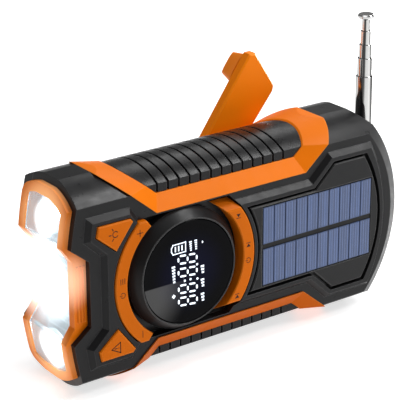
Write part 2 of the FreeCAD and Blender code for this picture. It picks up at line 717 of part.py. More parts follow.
def arc_stems(side):
    """(x, z) of the three stems under an arc key; side is -1 on the left and 1 on the right."""
    radius = (ARC_KEY_OUTER_RADIUS + ARC_KEY_INNER_RADIUS) / 2
    places = []
    for step in (-1, 0, 1):
        angle = math.radians(step * KEY_STEM_ANGLE)
        places.append((DIAL_X + side * radius * math.cos(angle), radius * math.sin(angle)))
    return places


def button_stems():
    """(x, z) of the stems under the lamp and alarm buttons."""
    return [(DIAL_X + BUTTON_STEM_X, z) for z in (BUTTON_STEM_Z, -BUTTON_STEM_Z)]


def all_stems():
    """(x, z) of every stem that presses a switch."""
    return arc_stems(-1) + arc_stems(1) + button_stems()


# ---------------------------------------------------------------- housing shells
def envelope():
    """The closed housing, with the trims' and grips' bands sunk to the core."""
    body = barrel_prism(0.0, LEFT_X, RIGHT_X).common(end_limits())
    band = band_prism(TRIM_EDGE_Z, TRIM_LEFT_X, TRIM_RIGHT_X).cut(core_barrel())
    return body.cut(band).cut(mirrored_z(band))


def cavity():
    """The hollow inside the two shells."""
    main = block((CAVITY_LEFT_X, CAVITY_RIGHT_X), (INNER_FRONT_Y, INNER_BACK_Y),
                 (-CAVITY_HALF_HEIGHT, CAVITY_HALF_HEIGHT))
    arch_right_x = RIGHT_END_CENTRE_X + RIGHT_END_RADIUS * math.cos(math.radians(CAVITY_END_ANGLE))
    arch = plain_barrel(INNER_HALF_DEPTH, INNER_RADIUS, CAVITY_LEFT_X, arch_right_x)
    return main.fuse(arch)


def bezel_pocket():
    """The opening at the lamp end that the bezel plugs into."""
    return lamp_prism(BEZEL_RIM)


def antenna_slot():
    """The slot in the antenna end, open at the end and at the top."""
    gap = TUBE_OUTER_RADIUS + ANTENNA_SLOT_GAP
    swing = math.hypot(TUBE_OUTER_RADIUS, ANTENNA_KNUCKLE_BELOW) + ANTENNA_SLOT_SWING
    return block((ANTENNA_X - swing, 2 * RIGHT_X), (ANTENNA_Y - gap, ANTENNA_Y + gap),
                 (ANTENNA_PIVOT_Z - ANTENNA_SLOT_BELOW, BODY_HEIGHT))


def port_layer(outer, inner, width, low, high):
    """A curved plate that follows the antenna end, between two depths below its surface."""
    spans = (centred(PORT_Y, width), (low, high))
    shell = rod_y(RIGHT_END_CENTRE_X, 0, RIGHT_END_RADIUS - outer, *spans[0])
    shell = shell.cut(rod_y(RIGHT_END_CENTRE_X, 0, RIGHT_END_RADIUS - inner, *spans[0]))
    return shell.common(block((RIGHT_END_CENTRE_X, 2 * RIGHT_X), spans[0], spans[1]))


def port_front_x(z):
    """X of a socket's mouth, a little below the floor of the cover's recess."""
    radius = RIGHT_END_RADIUS - PORT_COVER_THICKNESS - PORT_COVER_GAP - PORT_MOUTH_SINK
    reach = abs(z) + PORT_LARGE_HEIGHT / 2
    return RIGHT_END_CENTRE_X + math.sqrt(radius ** 2 - reach ** 2)


def port_sizes():
    """(z, width, height, depth) of the large and the small socket."""
    return [
        (PORT_LARGE_Z, PORT_LARGE_WIDTH, PORT_LARGE_HEIGHT, PORT_LARGE_DEPTH),
        (PORT_SMALL_Z, PORT_SMALL_WIDTH, PORT_SMALL_HEIGHT, PORT_SMALL_DEPTH),
    ]


def port_cuts():
    """The recess for the rubber cover, the two windows and the sockets' pocket."""
    gap = PORT_COVER_SIDE_GAP
    recess = port_layer(-WALL, PORT_COVER_THICKNESS + PORT_COVER_GAP, PORT_COVER_WIDTH + 2 * gap,
                        PORT_COVER_LOW_Z - gap, PORT_COVER_HIGH_Z + gap)
    cuts = [recess]
    for z, width, height, depth in port_sizes():
        window = block((port_front_x(z) - depth, 2 * RIGHT_X), centred(PORT_Y, width),
                       centred(z, height))
        cuts.append(window.common(rod_y(RIGHT_END_CENTRE_X, 0, RIGHT_END_RADIUS - PORT_COVER_THICKNESS,
                                        -BODY_DEPTH, BODY_DEPTH)))
    return cuts


def screw_boss(x, z, radius, y_start, y_end, pilot):
    """A boss along Y with a pilot hole."""
    return rod_y(x, z, radius, y_start, y_end).cut(rod_y(x, z, pilot, y_start, y_end))


def make_front_shell():
    """The front half of the housing with everything that is moulded into it."""
    front_half = block((-REACH, REACH), (-REACH, SPLIT_Y), (-REACH, REACH))
    shell = envelope().common(front_half)
    shell = shell.cut(cavity())
    cup = dial_rod(DIAL_RECESS_RADIUS + DIAL_FLOOR, INNER_FRONT_Y, DIAL_CUP_Y)
    cup = cup.common(block((-REACH, REACH), (-REACH, REACH), centred(0, 2 * CAVITY_HALF_HEIGHT)))
    shell = fuse_all([shell, cup] + raised_pads())
    recess = dial_rod(DIAL_RECESS_RADIUS, PAD_Y, DIAL_FLOOR_Y)
    limit = block((-REACH, REACH), (-REACH, REACH), centred(0, 2 * DIAL_RECESS_HALF_HEIGHT))
    cuts = [recess.common(limit), bezel_pocket(), antenna_slot()] + port_cuts()
    seat = solar_prism(0.0, PAD_Y, FACE_Y + SOLAR_SEAT_DEPTH)
    cuts.append(seat.cut(dial_rod(DIAL_RECESS_RADIUS + SOLAR_RIM_AT_DIAL, PAD_Y, FACE_Y + SOLAR_SEAT_DEPTH)))
    hole_end_y = INNER_FRONT_Y + BUTTON_FLANGE + BUTTON_TRAVEL + KNOB_GAP
    button_hole = button_prism(BUTTON_CLEARANCE, PAD_Y, hole_end_y)
    button_pocket = button_prism(2 * BUTTON_CLEARANCE + BUTTON_FLANGE, INNER_FRONT_Y,
                                 FACE_Y + CORE_SETBACK + WALL)
    button_pocket = button_pocket.common(block((CAVITY_LEFT_X, DIAL_X), (-REACH, REACH), (-REACH, REACH)))
    button_pocket = button_pocket.cut(dial_rod(DIAL_RECESS_RADIUS + DIAL_FLOOR, INNER_FRONT_Y, DIAL_CUP_Y))
    cuts += [button_hole, mirrored_z(button_hole), button_pocket, mirrored_z(button_pocket)]
    for x, z in arc_stems(-1) + arc_stems(1):
        cuts.append(rod_y(x, z, KEY_STEM_RADIUS + STEM_HOLE_CLEARANCE, DIAL_FLOOR_Y, DIAL_CUP_Y))
    cuts.append(dial_rod(DISPLAY_LEAD_RADIUS, DIAL_FLOOR_Y, DIAL_CUP_Y))
    pin_low = ANTENNA_Y - TUBE_OUTER_RADIUS - ANTENNA_SLOT_GAP - ANTENNA_PIN_REACH
    pin_high = ANTENNA_Y + TUBE_OUTER_RADIUS + ANTENNA_SLOT_GAP + ANTENNA_PIN_REACH
    cuts.append(rod_y(ANTENNA_X, ANTENNA_PIVOT_Z, ANTENNA_PIN_RADIUS, pin_low, pin_high))
    for cut in cuts:
        shell = shell.cut(cut)
    bosses = []
    for x, z in CASE_SCREWS:
        start = DIAL_CUP_Y if math.hypot(x - DIAL_X, z) < DIAL_RECESS_RADIUS else INNER_FRONT_Y
        bosses.append(screw_boss(x, z, CASE_BOSS_RADIUS, start, SPLIT_Y, CASE_SCREW_RADIUS))
    for x, z in BOARD_POSTS:
        start = DIAL_CUP_Y if math.hypot(x - DIAL_X, z) < DIAL_RECESS_RADIUS else INNER_FRONT_Y
        bosses.append(screw_boss(x, z, BOARD_POST_RADIUS, start, BOARD_Y, SMALL_SCREW_RADIUS))
    return fuse_all([shell] + bosses)


def make_rear_cover():
    """The back of the housing with the crank's bearing boss, speaker grille and screw bosses."""
    back_half = block((-REACH, REACH), (SPLIT_Y, REACH), (-REACH, REACH))
    cover = envelope().common(back_half)
    for cut in (cavity(), bezel_pocket()):
        cover = cover.cut(cut)
    parts = [cover, rod_y(0, 0, BUSH_BOSS_RADIUS, BUSH_BACK_Y, INNER_BACK_Y)]
    for x, z in CASE_SCREWS:
        parts.append(rod_y(x, z, CASE_BOSS_RADIUS + WALL / 2, SPLIT_Y, INNER_BACK_Y))
    for x, z in PLATE_POSTS:
        parts.append(rod_y(x, z, POST_RADIUS, PLATE_Y + PLATE_THICKNESS, INNER_BACK_Y))
    cover = fuse_all(parts)
    cuts = [rod_y(0, 0, BUSH_RADIUS, BUSH_BACK_Y, BACK_Y)]
    for x, z in CASE_SCREWS:
        cuts.append(rod_y(x, z, CASE_SCREW_RADIUS + SCREW_PILOT_CLEARANCE, SPLIT_Y, BACK_Y))
        cuts.append(rod_y(x, z, CASE_SCREW_HEAD_RADIUS + SCREW_PILOT_CLEARANCE, BACK_Y - CASE_SCREW_SINK,
                          BACK_Y))
    for x, z in PLATE_POSTS:
        cuts.append(rod_y(x, z, SMALL_SCREW_RADIUS, PLATE_Y, PLATE_Y + SMALL_SCREW_LENGTH + PLATE_THICKNESS))
    for i in range(GRILLE_SLOTS):
        z = (i - (GRILLE_SLOTS - 1) / 2) * GRILLE_PITCH
        half = math.sqrt(GRILLE_RADIUS ** 2 - z ** 2)
        cuts.append(block(centred(SPEAKER_X, 2 * half), (INNER_BACK_Y, BACK_Y),
                          centred(z, GRILLE_SLOT_WIDTH)))
    for cut in cuts:
        cover = cover.cut(cut)
    return cover


# ---------------------------------------------------------------- lamps
def lamp_limit(sink):
    """All that lies behind the bezel's front surface brought in by sink, as far as the bulkhead."""
    half = HALF_HEIGHT + WALL
    edges, left_x = lamp_end_edges(-BODY_DEPTH, BEZEL_PROUD - sink, BEZEL_WAIST_PROUD - sink)
    corners = [Vector(x, -BODY_DEPTH, z) for x, z in
               ((left_x, half), (BULKHEAD_X, half), (BULKHEAD_X, -half), (left_x, -half))]
    edges += Part.makePolygon(corners).Edges
    face = Part.Face(Part.Wire(Part.__sortEdges__(edges)))
    return face.extrude(Vector(0, 2 * BODY_DEPTH, 0))


def lamp_front_x(z, sink):
    """X of the bezel's front surface at height z on a lobe, brought in by sink."""
    return LAMP_EDGE_X + LEFT_END_RADIUS - math.sqrt((LEFT_END_RADIUS + BEZEL_PROUD - sink) ** 2 - z ** 2)


def make_lamp_bezel():
    """The orange ring that plugs into the lamp end."""
    inset = BEZEL_RIM + BEZEL_FIT
    outside = lamp_prism(inset).common(lamp_limit(0.0))
    inside = lamp_prism(inset + BEZEL_WALL).common(lamp_limit(BEZEL_WALL))
    bezel = outside.cut(inside).cut(lamp_prism(inset + BEZEL_FACE))
    wall_y = FACE_Y + inset
    first_x = LAMP_EDGE_X + NOTCH_DEPTH - FIRST_RIB_INSET
    ribs = []
    for i in range(RIB_COUNT):
        x = first_x - i * RIB_PITCH
        ribs.append(block(centred(x, RIB_WIDTH), (wall_y - RIB_HEIGHT, wall_y + RIB_HEIGHT),
                          centred(0, 2 * RIB_HALF_LENGTH)))
    return fuse_all([bezel] + ribs)


def make_lamp_lens():
    """The clear cover: a face that fills the bezel and a rim that bears on the bezel's inside."""
    opening = BEZEL_RIM + BEZEL_FIT + BEZEL_FACE
    back = BEZEL_WALL + LENS_RIM_THICKNESS
    face = lamp_prism(opening + BEZEL_FIT).common(lamp_limit(LENS_SINK).cut(lamp_limit(back)))
    rim = lamp_prism(opening - LENS_RIM).common(lamp_limit(BEZEL_WALL).cut(lamp_limit(back)))
    return fuse_all([face, rim])


def lamp_board_x():
    """X of the lamp board's face that carries the lamps."""
    return BULKHEAD_X - LAMP_BOARD_THICKNESS


def make_reflector(z):
    """A lathe-turned bowl with a hub that stands on the lamp board."""
    back_x = lamp_board_x()
    hub_x = back_x - REFLECTOR_HUB_LENGTH
    mouth_x = lamp_front_x(LAMP_Z + REFLECTOR_MOUTH_RADIUS, BEZEL_WALL + LENS_RIM_THICKNESS + BEZEL_FIT)
    outline = [
        (back_x, REFLECTOR_HUB_RADIUS), (hub_x, REFLECTOR_HUB_RADIUS), (mouth_x, REFLECTOR_MOUTH_RADIUS),
        (mouth_x, REFLECTOR_MOUTH_RADIUS - REFLECTOR_WALL), (hub_x, REFLECTOR_HUB_RADIUS - REFLECTOR_WALL),
        (back_x, REFLECTOR_HUB_RADIUS - REFLECTOR_WALL),
    ]
    face = polygon_face(outline, lambda x, r: Vector(x, LAMP_Y, z + r))
    return face.revolve(Vector(0, LAMP_Y, z), Vector(1, 0, 0), 360)


def make_lamp_board():
    """The board behind both lamps, seated on the bulkhead."""
    section = lamp_prism(BEZEL_RIM + BEZEL_FIT + BEZEL_WALL + LAMP_BOARD_CLEARANCE)
    return section.common(block((lamp_board_x(), BULKHEAD_X), centred(LAMP_Y, LAMP_BOARD_WIDTH),
                                (-REACH, REACH)))


def make_lamps():
    """Two surface-mounted lamps on the lamp board."""
    lamps = []
    for z in (LAMP_Z, -LAMP_Z):
        base_x = lamp_board_x() - LED_BASE
        base = block((base_x, lamp_board_x()), centred(LAMP_Y, LED_SIZE), centred(z, LED_SIZE))
        dome = Part.makeSphere(LED_DOME_RADIUS, Vector(base_x, LAMP_Y, z))
        dome = dome.common(block((base_x - LED_SIZE, base_x), centred(LAMP_Y, LED_SIZE),
                                 centred(z, LED_SIZE)))
        lamps.append(base.fuse(dome))
    return Part.makeCompound(lamps)


# ---------------------------------------------------------------- display, keys and buttons
def make_display_ring():
    """The black cone round the display, with a seat for the glass."""
    shoulder_y = DIAL_FLOOR_Y - RING_SHOULDER
    seat_y = GLASS_TOP_Y + GLASS_THICKNESS
    seat_radius = GLASS_RADIUS + BEZEL_FIT
    outline = [
        (RING_RADIUS, DIAL_FLOOR_Y), (RING_RADIUS, shoulder_y), (RING_TOP_RADIUS, RING_TOP_Y),
        (seat_radius, RING_TOP_Y), (seat_radius, seat_y), (RING_BORE_RADIUS, seat_y),
        (RING_BORE_RADIUS, DIAL_FLOOR_Y),
    ]
    face = polygon_face(outline, lambda r, y: Vector(DIAL_X + r, y, 0))
    return face.revolve(Vector(DIAL_X, 0, 0), Vector(0, 1, 0), 360)


def make_display_glass():
    """The round cover glass, a hair below the ring's rim."""
    glass = dial_rod(GLASS_RADIUS, GLASS_TOP_Y, GLASS_TOP_Y + GLASS_THICKNESS)
    return chamfered(glass, GLASS_CHAMFER, edge_at_y(GLASS_TOP_Y))


def make_display_module():
    """The display cell that stands on the dial's floor under the glass."""
    return block(centred(DIAL_X, DISPLAY_WIDTH), (GLASS_TOP_Y + GLASS_THICKNESS, DIAL_FLOOR_Y),
                 centred(0, DISPLAY_HEIGHT))


def switch_top_y():
    """Y of the switches' plungers, which face the stems."""
    return BOARD_Y - SWITCH_BASE - SWITCH_PLUNGER


def left_key_ends(top_y, bottom_y):
    """The wedge whose flanks cut the left key's ends towards the dial's centre."""
    far = DIAL_X - 2 * DIAL_RECESS_RADIUS
    spread = (DIAL_X - far) * math.tan(math.radians(LEFT_KEY_HALF_ANGLE))
    return front_prism([(DIAL_X, 0), (far, spread), (far, -spread)], top_y, bottom_y)


def right_key_ends(top_y, bottom_y):
    """The prism that cuts the right key's ends level, and sloping outwards with depth."""
    deep = RIGHT_KEY_HALF_HEIGHT + RIGHT_KEY_END_SLOPE * (bottom_y - top_y)
    outline = [(top_y, RIGHT_KEY_HALF_HEIGHT), (bottom_y, deep),
               (bottom_y, -deep), (top_y, -RIGHT_KEY_HALF_HEIGHT)]
    face = polygon_face(outline, lambda y, z: Vector(DIAL_X, y, z))
    return face.extrude(Vector(2 * DIAL_RECESS_RADIUS, 0, 0))


def make_arc_key(side, ends):
    """A curved key beside the dial, its ends cut as ends says, with three stems that press switches."""
    top_y = PAD_Y - KEY_PROUD
    bottom_y = DIAL_FLOOR_Y - KEY_TRAVEL - STEM_GAP
    ring = dial_rod(ARC_KEY_OUTER_RADIUS, top_y, bottom_y)
    ring = ring.cut(dial_rod(ARC_KEY_INNER_RADIUS, top_y, bottom_y))
    limit = block((-REACH, REACH), (-REACH, REACH),
                  centred(0, 2 * (DIAL_RECESS_HALF_HEIGHT - BUTTON_CLEARANCE)))
    key = ring.common(ends(top_y, bottom_y)).common(limit)
    key = chamfered(key, BUTTON_CHAMFER, edge_at_y(top_y))
    stem_end_y = switch_top_y() - STEM_GAP - KEY_TRAVEL
    stems = [rod_y(x, z, KEY_STEM_RADIUS, bottom_y, stem_end_y) for x, z in arc_stems(side)]
    return fuse_all([key] + stems)


def make_button():
    """The lamp button: a cap, a flange that stops it under the console and a stem."""
    top_y = PAD_Y - BUTTON_PROUD
    flange_y = INNER_FRONT_Y + STEM_GAP
    cap = button_prism(0.0, top_y, flange_y + BUTTON_FLANGE)
    cap = chamfered(cap, BUTTON_CHAMFER, edge_at_y(top_y))
    flange = button_prism(BUTTON_CLEARANCE + BUTTON_FLANGE, flange_y, flange_y + BUTTON_FLANGE)
    flange = flange.cut(dial_rod(DIAL_RECESS_RADIUS + DIAL_FLOOR + BUTTON_CLEARANCE, flange_y, DIAL_CUP_Y))
    flange = flange.common(block((CAVITY_LEFT_X + BUTTON_CLEARANCE, REACH), (-REACH, REACH), (0, REACH)))
    stem_end_y = switch_top_y() - STEM_GAP - BUTTON_TRAVEL
    stem = rod_y(DIAL_X + BUTTON_STEM_X, BUTTON_STEM_Z, KEY_STEM_RADIUS, flange_y, stem_end_y)
    return fuse_all([cap, flange, stem])


def make_switches():
    """The push switches on the main board, one under each stem."""
    switches = []
    for x, z in all_stems():
        base = block(centred(x, SWITCH_SIZE), (BOARD_Y - SWITCH_BASE, BOARD_Y), centred(z, SWITCH_SIZE))
        plunger = rod_y(x, z, SWITCH_PLUNGER_RADIUS, switch_top_y(), BOARD_Y - SWITCH_BASE)
        switches.append(base.fuse(plunger))
    return Part.makeCompound(switches)


# ---------------------------------------------------------------- solar panel
def make_solar_frame():
    """The black insert that carries the cells, set in its seat with a groove all round."""
    top = solar_prism(-SOLAR_GROOVE, PAD_Y, FACE_Y + SOLAR_SEAT_DEPTH)
    dial_cut = dial_rod(DIAL_RECESS_RADIUS + SOLAR_RIM_AT_DIAL + SOLAR_GROOVE, PAD_Y,
                        FACE_Y + SOLAR_SEAT_DEPTH)
    frame = top.cut(dial_cut)
    frame = chamfered(frame, GLASS_CHAMFER, edge_at_y(PAD_Y))
    depth = CELL_THICKNESS + SOLAR_BOARD_THICKNESS
    well = block((CELL_LEFT_X - SOLAR_BOARD_MARGIN, CELL_RIGHT_X + SOLAR_BOARD_MARGIN),
                 (PAD_Y, PAD_Y + depth), centred(0, 2 * (CELL_HALF_HEIGHT + SOLAR_BOARD_MARGIN)))
    return frame.cut(well)


def make_solar_board():
    """The board that carries the cells."""
    y = PAD_Y + CELL_THICKNESS
    return block((CELL_LEFT_X - SOLAR_BOARD_MARGIN, CELL_RIGHT_X + SOLAR_BOARD_MARGIN),
                 (y, y + SOLAR_BOARD_THICKNESS), centred(0, 2 * (CELL_HALF_HEIGHT + SOLAR_BOARD_MARGIN)))


def make_solar_cells():
    """Two rows of narrow cells on the solar board."""
    pitch = (CELL_RIGHT_X - CELL_LEFT_X + CELL_GAP) / CELL_COLUMNS
    cells = []
    for i in range(CELL_COLUMNS):
        left = CELL_LEFT_X + i * pitch
        for low, high in ((CELL_MIDDLE_GAP / 2, CELL_HALF_HEIGHT), (-CELL_HALF_HEIGHT, -CELL_MIDDLE_GAP / 2)):
            cells.append(block((left, left + pitch - CELL_GAP), (PAD_Y, PAD_Y + CELL_THICKNESS), (low, high)))
    return Part.makeCompound(cells)


# ---------------------------------------------------------------- gears
def involute(angle):
    """The involute function."""
    return math.tan(angle) - angle


def gear_face(teeth, x, z, phase):
    """A spur gear's outline in the XZ plane, with a tooth centred on the angle phase (radians)."""
    pitch_radius = GEAR_MODULE * teeth / 2
    base_radius = pitch_radius * math.cos(math.radians(PRESSURE_ANGLE))
    tip_radius = pitch_radius + ADDENDUM_FACTOR * GEAR_MODULE
    root_radius = pitch_radius - DEDENDUM_FACTOR * GEAR_MODULE
    half_tooth = math.pi / (2 * teeth) - BACKLASH / (4 * pitch_radius)
    start = max(base_radius, root_radius)
    radii = [start, (start + tip_radius) / 2, tip_radius]

    def half_angle(radius):
        return half_tooth + involute(math.radians(PRESSURE_ANGLE)) - involute(math.acos(base_radius / radius))

    flank = [(root_radius, half_angle(start))] + [(r, half_angle(r)) for r in radii if r > root_radius]
    points = []
    for i in range(teeth):
        middle = phase + 2 * math.pi * i / teeth
        for radius, spread in flank:
            points.append((radius, middle - spread))
        for radius, spread in reversed(flank):
            points.append((radius, middle + spread))
    return [(x + r * math.cos(a), z + r * math.sin(a)) for r, a in points]


def make_gear(teeth, x, z, phase, y_start):
    """A spur gear one face width thick."""
    return front_prism(gear_face(teeth, x, z, phase), y_start, y_start + GEAR_FACE)


def idler_x():
    """X of the idler's axis."""
    return GEAR_MODULE * (CRANK_TEETH + IDLER_PINION_TEETH) / 2


def generator_x():
    """X of the generator's axis."""
    return idler_x() + GEAR_MODULE * (IDLER_WHEEL_TEETH + GENERATOR_TEETH) / 2


def make_drive_gear():
    """The large gear on the crank's shaft."""
    gear = make_gear(CRANK_TEETH, 0, 0, 0.0, FIRST_MESH_Y)
    holes = [rod_y(LIGHTENING_REACH * math.cos(a), LIGHTENING_REACH * math.sin(a), LIGHTENING_RADIUS,
                   FIRST_MESH_Y, FIRST_MESH_Y + GEAR_FACE)
             for a in [math.radians(90 * i + 45) for i in range(4)]]
    for hole in holes:
        gear = gear.cut(hole)
    return gear.cut(rod_y(0, 0, SHAFT_RADIUS, FIRST_MESH_Y, FIRST_MESH_Y + GEAR_FACE))


def make_idler_gear():
    """The idler: a pinion driven by the crank's gear and a wheel that drives the generator."""
    x = idler_x()
    pinion = make_gear(IDLER_PINION_TEETH, x, 0, math.pi / IDLER_PINION_TEETH, FIRST_MESH_Y)
    collar = rod_y(x, 0, IDLER_COLLAR_RADIUS, SECOND_MESH_Y + GEAR_FACE, FIRST_MESH_Y)
    wheel = make_gear(IDLER_WHEEL_TEETH, x, 0, 0.0, SECOND_MESH_Y)
    idler = fuse_all([pinion, collar, wheel])
    return idler.cut(rod_y(x, 0, IDLER_PIN_RADIUS + RUNNING_FIT, SECOND_MESH_Y, FIRST_MESH_Y + GEAR_FACE))


def make_generator_pinion():
    """The pinion on the generator's shaft."""
    x = generator_x()
    phase = math.pi / GENERATOR_TEETH
    pinion = make_gear(GENERATOR_TEETH, x, 0, phase, SECOND_MESH_Y)
    return pinion.cut(rod_y(x, 0, ROTOR_SHAFT_RADIUS, SECOND_MESH_Y, SECOND_MESH_Y + GEAR_FACE))


def plate_outline():
    """The gearbox plate, seen from the front."""
    margin = POST_RADIUS
    left_x, left_z = PLATE_POSTS[0]
    top_x, top_z = PLATE_POSTS[1]
    right_x, right_z = PLATE_POSTS[2]
    return [
        (left_x - margin, left_z + margin), (top_x - margin, top_z + margin),
        (top_x + margin, top_z + margin),
        (right_x + margin, right_z + margin), (right_x + margin, -right_z - margin),
        (left_x - margin, left_z - margin),
    ]


def make_gearbox_plate():
    """The plate that carries the generator and the inner ends of the shafts."""
    plate = front_prism(plate_outline(), PLATE_Y, PLATE_Y + PLATE_THICKNESS)
    plate = plate.cut(rod_y(0, 0, SHAFT_RADIUS + RUNNING_FIT, PLATE_Y, PLATE_Y + PLATE_THICKNESS))
    plate = plate.cut(rod_y(idler_x(), 0, IDLER_PIN_RADIUS, PLATE_Y, PLATE_Y + PLATE_THICKNESS))
    neck = rod_y(generator_x(), 0, ROTOR_SHAFT_RADIUS + PLATE_THICKNESS, PLATE_Y, PLATE_Y + PLATE_THICKNESS)
    plate = plate.cut(neck)
    for x, z in PLATE_POSTS:
        plate = plate.cut(rod_y(x, z, SMALL_SCREW_RADIUS + SCREW_PILOT_CLEARANCE, PLATE_Y,
                                PLATE_Y + PLATE_THICKNESS))
    return plate


def make_generator_case():
    """The generator's can, fixed to the gearbox plate."""
    front_y = PLATE_Y - GENERATOR_LENGTH
    can = rod_y(generator_x(), 0, GENERATOR_RADIUS, front_y, PLATE_Y)
    hollow = rod_y(generator_x(), 0, GENERATOR_RADIUS - GENERATOR_WALL, front_y + GENERATOR_WALL,
                   PLATE_Y - GENERATOR_WALL)
    bore = rod_y(generator_x(), 0, ROTOR_SHAFT_RADIUS + RUNNING_FIT, front_y, PLATE_Y)
    return can.cut(hollow).cut(bore)


def make_generator_rotor():
    """The magnet rotor and its shaft."""
    middle = PLATE_Y - GENERATOR_LENGTH / 2
    magnet = rod_y(generator_x(), 0, ROTOR_RADIUS, *centred(middle, ROTOR_LENGTH))
    shaft = rod_y(generator_x(), 0, ROTOR_SHAFT_RADIUS, PLATE_Y - GENERATOR_LENGTH, SECOND_MESH_Y + GEAR_FACE)
    return magnet.fuse(shaft)


def make_idler_pin():
    """The fixed pin that the idler turns on."""
    return rod_y(idler_x(), 0, IDLER_PIN_RADIUS, PLATE_Y, INNER_BACK_Y)


# ---------------------------------------------------------------- crank
def crank_at(u, v, y):
    """A point on the crank from its reach u and offset v, at the rest angle."""
    angle = math.radians(CRANK_REST_ANGLE)
    return Vector(u * math.cos(angle) - v * math.sin(angle), y, u * math.sin(angle) + v * math.cos(angle))


def crank_rod(u, radius, y_start, y_end):
    """A round rod along Y at a reach along the crank's arm."""
    centre = crank_at(u, 0, 0)
    return rod_y(centre.x, centre.z, radius, y_start, y_end)


def arm_outline():
    """The arm from above: a taper that widens to a slanted tip with cut corners."""
    rise = 2 * ARM_TIP_HALF_WIDTH * math.tan(math.radians(ARM_TIP_SLANT))
    low_u = ARM_LENGTH - ARM_CORNER
    high_u = ARM_LENGTH + rise - ARM_CORNER
    return [
        (0, -ARM_HUB_HALF_WIDTH),
        (low_u, -ARM_TIP_HALF_WIDTH),
        (ARM_LENGTH, -ARM_TIP_HALF_WIDTH + ARM_CORNER / 2),
        (ARM_LENGTH + rise - ARM_CORNER / 2, ARM_TIP_HALF_WIDTH - ARM_CORNER),
        (high_u - ARM_CORNER / 4, ARM_TIP_HALF_WIDTH),
        (0, ARM_HUB_HALF_WIDTH),
    ]


def make_crank_arm():
    """The arm with its hub, bored for the shaft and the knob's pin."""
    face = polygon_face(arm_outline(), lambda u, v: crank_at(u, v, ARM_Y))
    arm = face.extrude(Vector(0, ARM_THICKNESS, 0))
    arm = fuse_all([arm, rod_y(0, 0, HUB_RADIUS, ARM_Y, ARM_BACK_Y)])
    front_edge = edge_at_y(ARM_Y)
    back_edge = edge_at_y(ARM_BACK_Y)
    arm = chamfered(arm, ARM_CHAMFER, lambda edge: front_edge(edge) or back_edge(edge))
    arm = arm.fuse(rod_y(0, 0, HUB_BOSS_RADIUS, ARM_BACK_Y, ARM_BACK_Y + HUB_BOSS_HEIGHT))
    arm = arm.cut(rod_y(0, 0, SHAFT_RADIUS, ARM_Y, ARM_BACK_Y + HUB_BOSS_HEIGHT))
    return arm.cut(crank_rod(KNOB_REACH, KNOB_PIN_RADIUS, ARM_Y + ARM_THICKNESS / 4, ARM_BACK_Y))


def make_crank_shaft():
    """The steel shaft from the gearbox plate to the arm, bored for the hub screw."""
    end_y = ARM_BACK_Y + HUB_BOSS_HEIGHT
    shaft = rod_y(0, 0, SHAFT_RADIUS, PLATE_Y, end_y)
    return shaft.cut(rod_y(0, 0, CRANK_SCREW_RADIUS, end_y - CRANK_SCREW_LENGTH, end_y))


def make_crank_screw():
    """The screw that holds the arm on its shaft."""
    end_y = ARM_BACK_Y + HUB_BOSS_HEIGHT
    shank = rod_y(0, 0, CRANK_SCREW_RADIUS, end_y - CRANK_SCREW_LENGTH, end_y)
    head = rod_y(0, 0, CRANK_SCREW_HEAD_RADIUS, end_y, end_y + CRANK_SCREW_HEAD)
    slots = [block(centred(0, a), (end_y + CRANK_SCREW_HEAD / 2, end_y + CRANK_SCREW_HEAD), centred(0, b))
             for a, b in ((CRANK_SLOT_WIDTH, CRANK_SLOT_LENGTH), (CRANK_SLOT_LENGTH, CRANK_SLOT_WIDTH))]
    for slot in slots:
        head = head.cut(slot)
    return shank.fuse(head)


def make_crank_bush():
    """The flanged brass bush that the shaft turns in."""
    bush = rod_y(0, 0, BUSH_RADIUS, BUSH_BACK_Y, BACK_Y)
    bush = bush.fuse(rod_y(0, 0, BUSH_FLANGE_RADIUS, BUSH_BACK_Y - BUSH_FLANGE, BUSH_BACK_Y))
    return bush.cut(rod_y(0, 0, SHAFT_RADIUS + RUNNING_FIT, BUSH_BACK_Y - BUSH_FLANGE, BACK_Y))


def knob_section(y, length, width):
    """One rectangle of the knob's taper, with its corners cut."""
    u = length / 2
    v = width / 2
    corners = [(-u, KNOB_CORNER - v), (KNOB_CORNER - u, -v), (u - KNOB_CORNER, -v), (u, KNOB_CORNER - v)]
    corners += [(-u, -v) for u, v in corners]
    points = [crank_at(KNOB_REACH + u, v, y) for u, v in corners]
    return Part.makePolygon(points + points[:1])


def make_crank_knob():
    """The tapered block that the fingers hold, turning on its pin."""
    base = knob_section(KNOB_Y, KNOB_BASE_LENGTH, KNOB_BASE_WIDTH)
    top = knob_section(KNOB_BACK_Y, KNOB_TOP_LENGTH, KNOB_TOP_WIDTH)
    knob = Part.makeLoft([base, top], True, True)
    knob = chamfered(knob, KNOB_CHAMFER, edge_at_y(KNOB_BACK_Y))
    knob = knob.cut(crank_rod(KNOB_REACH, KNOB_PIN_RADIUS + RUNNING_FIT, KNOB_Y, KNOB_BACK_Y))
    sink = crank_rod(KNOB_REACH, KNOB_PIN_HEAD_RADIUS + KNOB_GAP, KNOB_BACK_Y - KNOB_COUNTERBORE, KNOB_BACK_Y)
    return knob.cut(sink)


def make_knob_pin():
    """The pin that the knob turns on, set in the arm, with its head sunk in the knob."""
    seat_y = KNOB_BACK_Y - KNOB_COUNTERBORE + KNOB_GAP
    pin = crank_rod(KNOB_REACH, KNOB_PIN_RADIUS, ARM_Y + ARM_THICKNESS / 4, seat_y)
    return pin.fuse(crank_rod(KNOB_REACH, KNOB_PIN_HEAD_RADIUS, seat_y, seat_y + KNOB_PIN_HEAD))


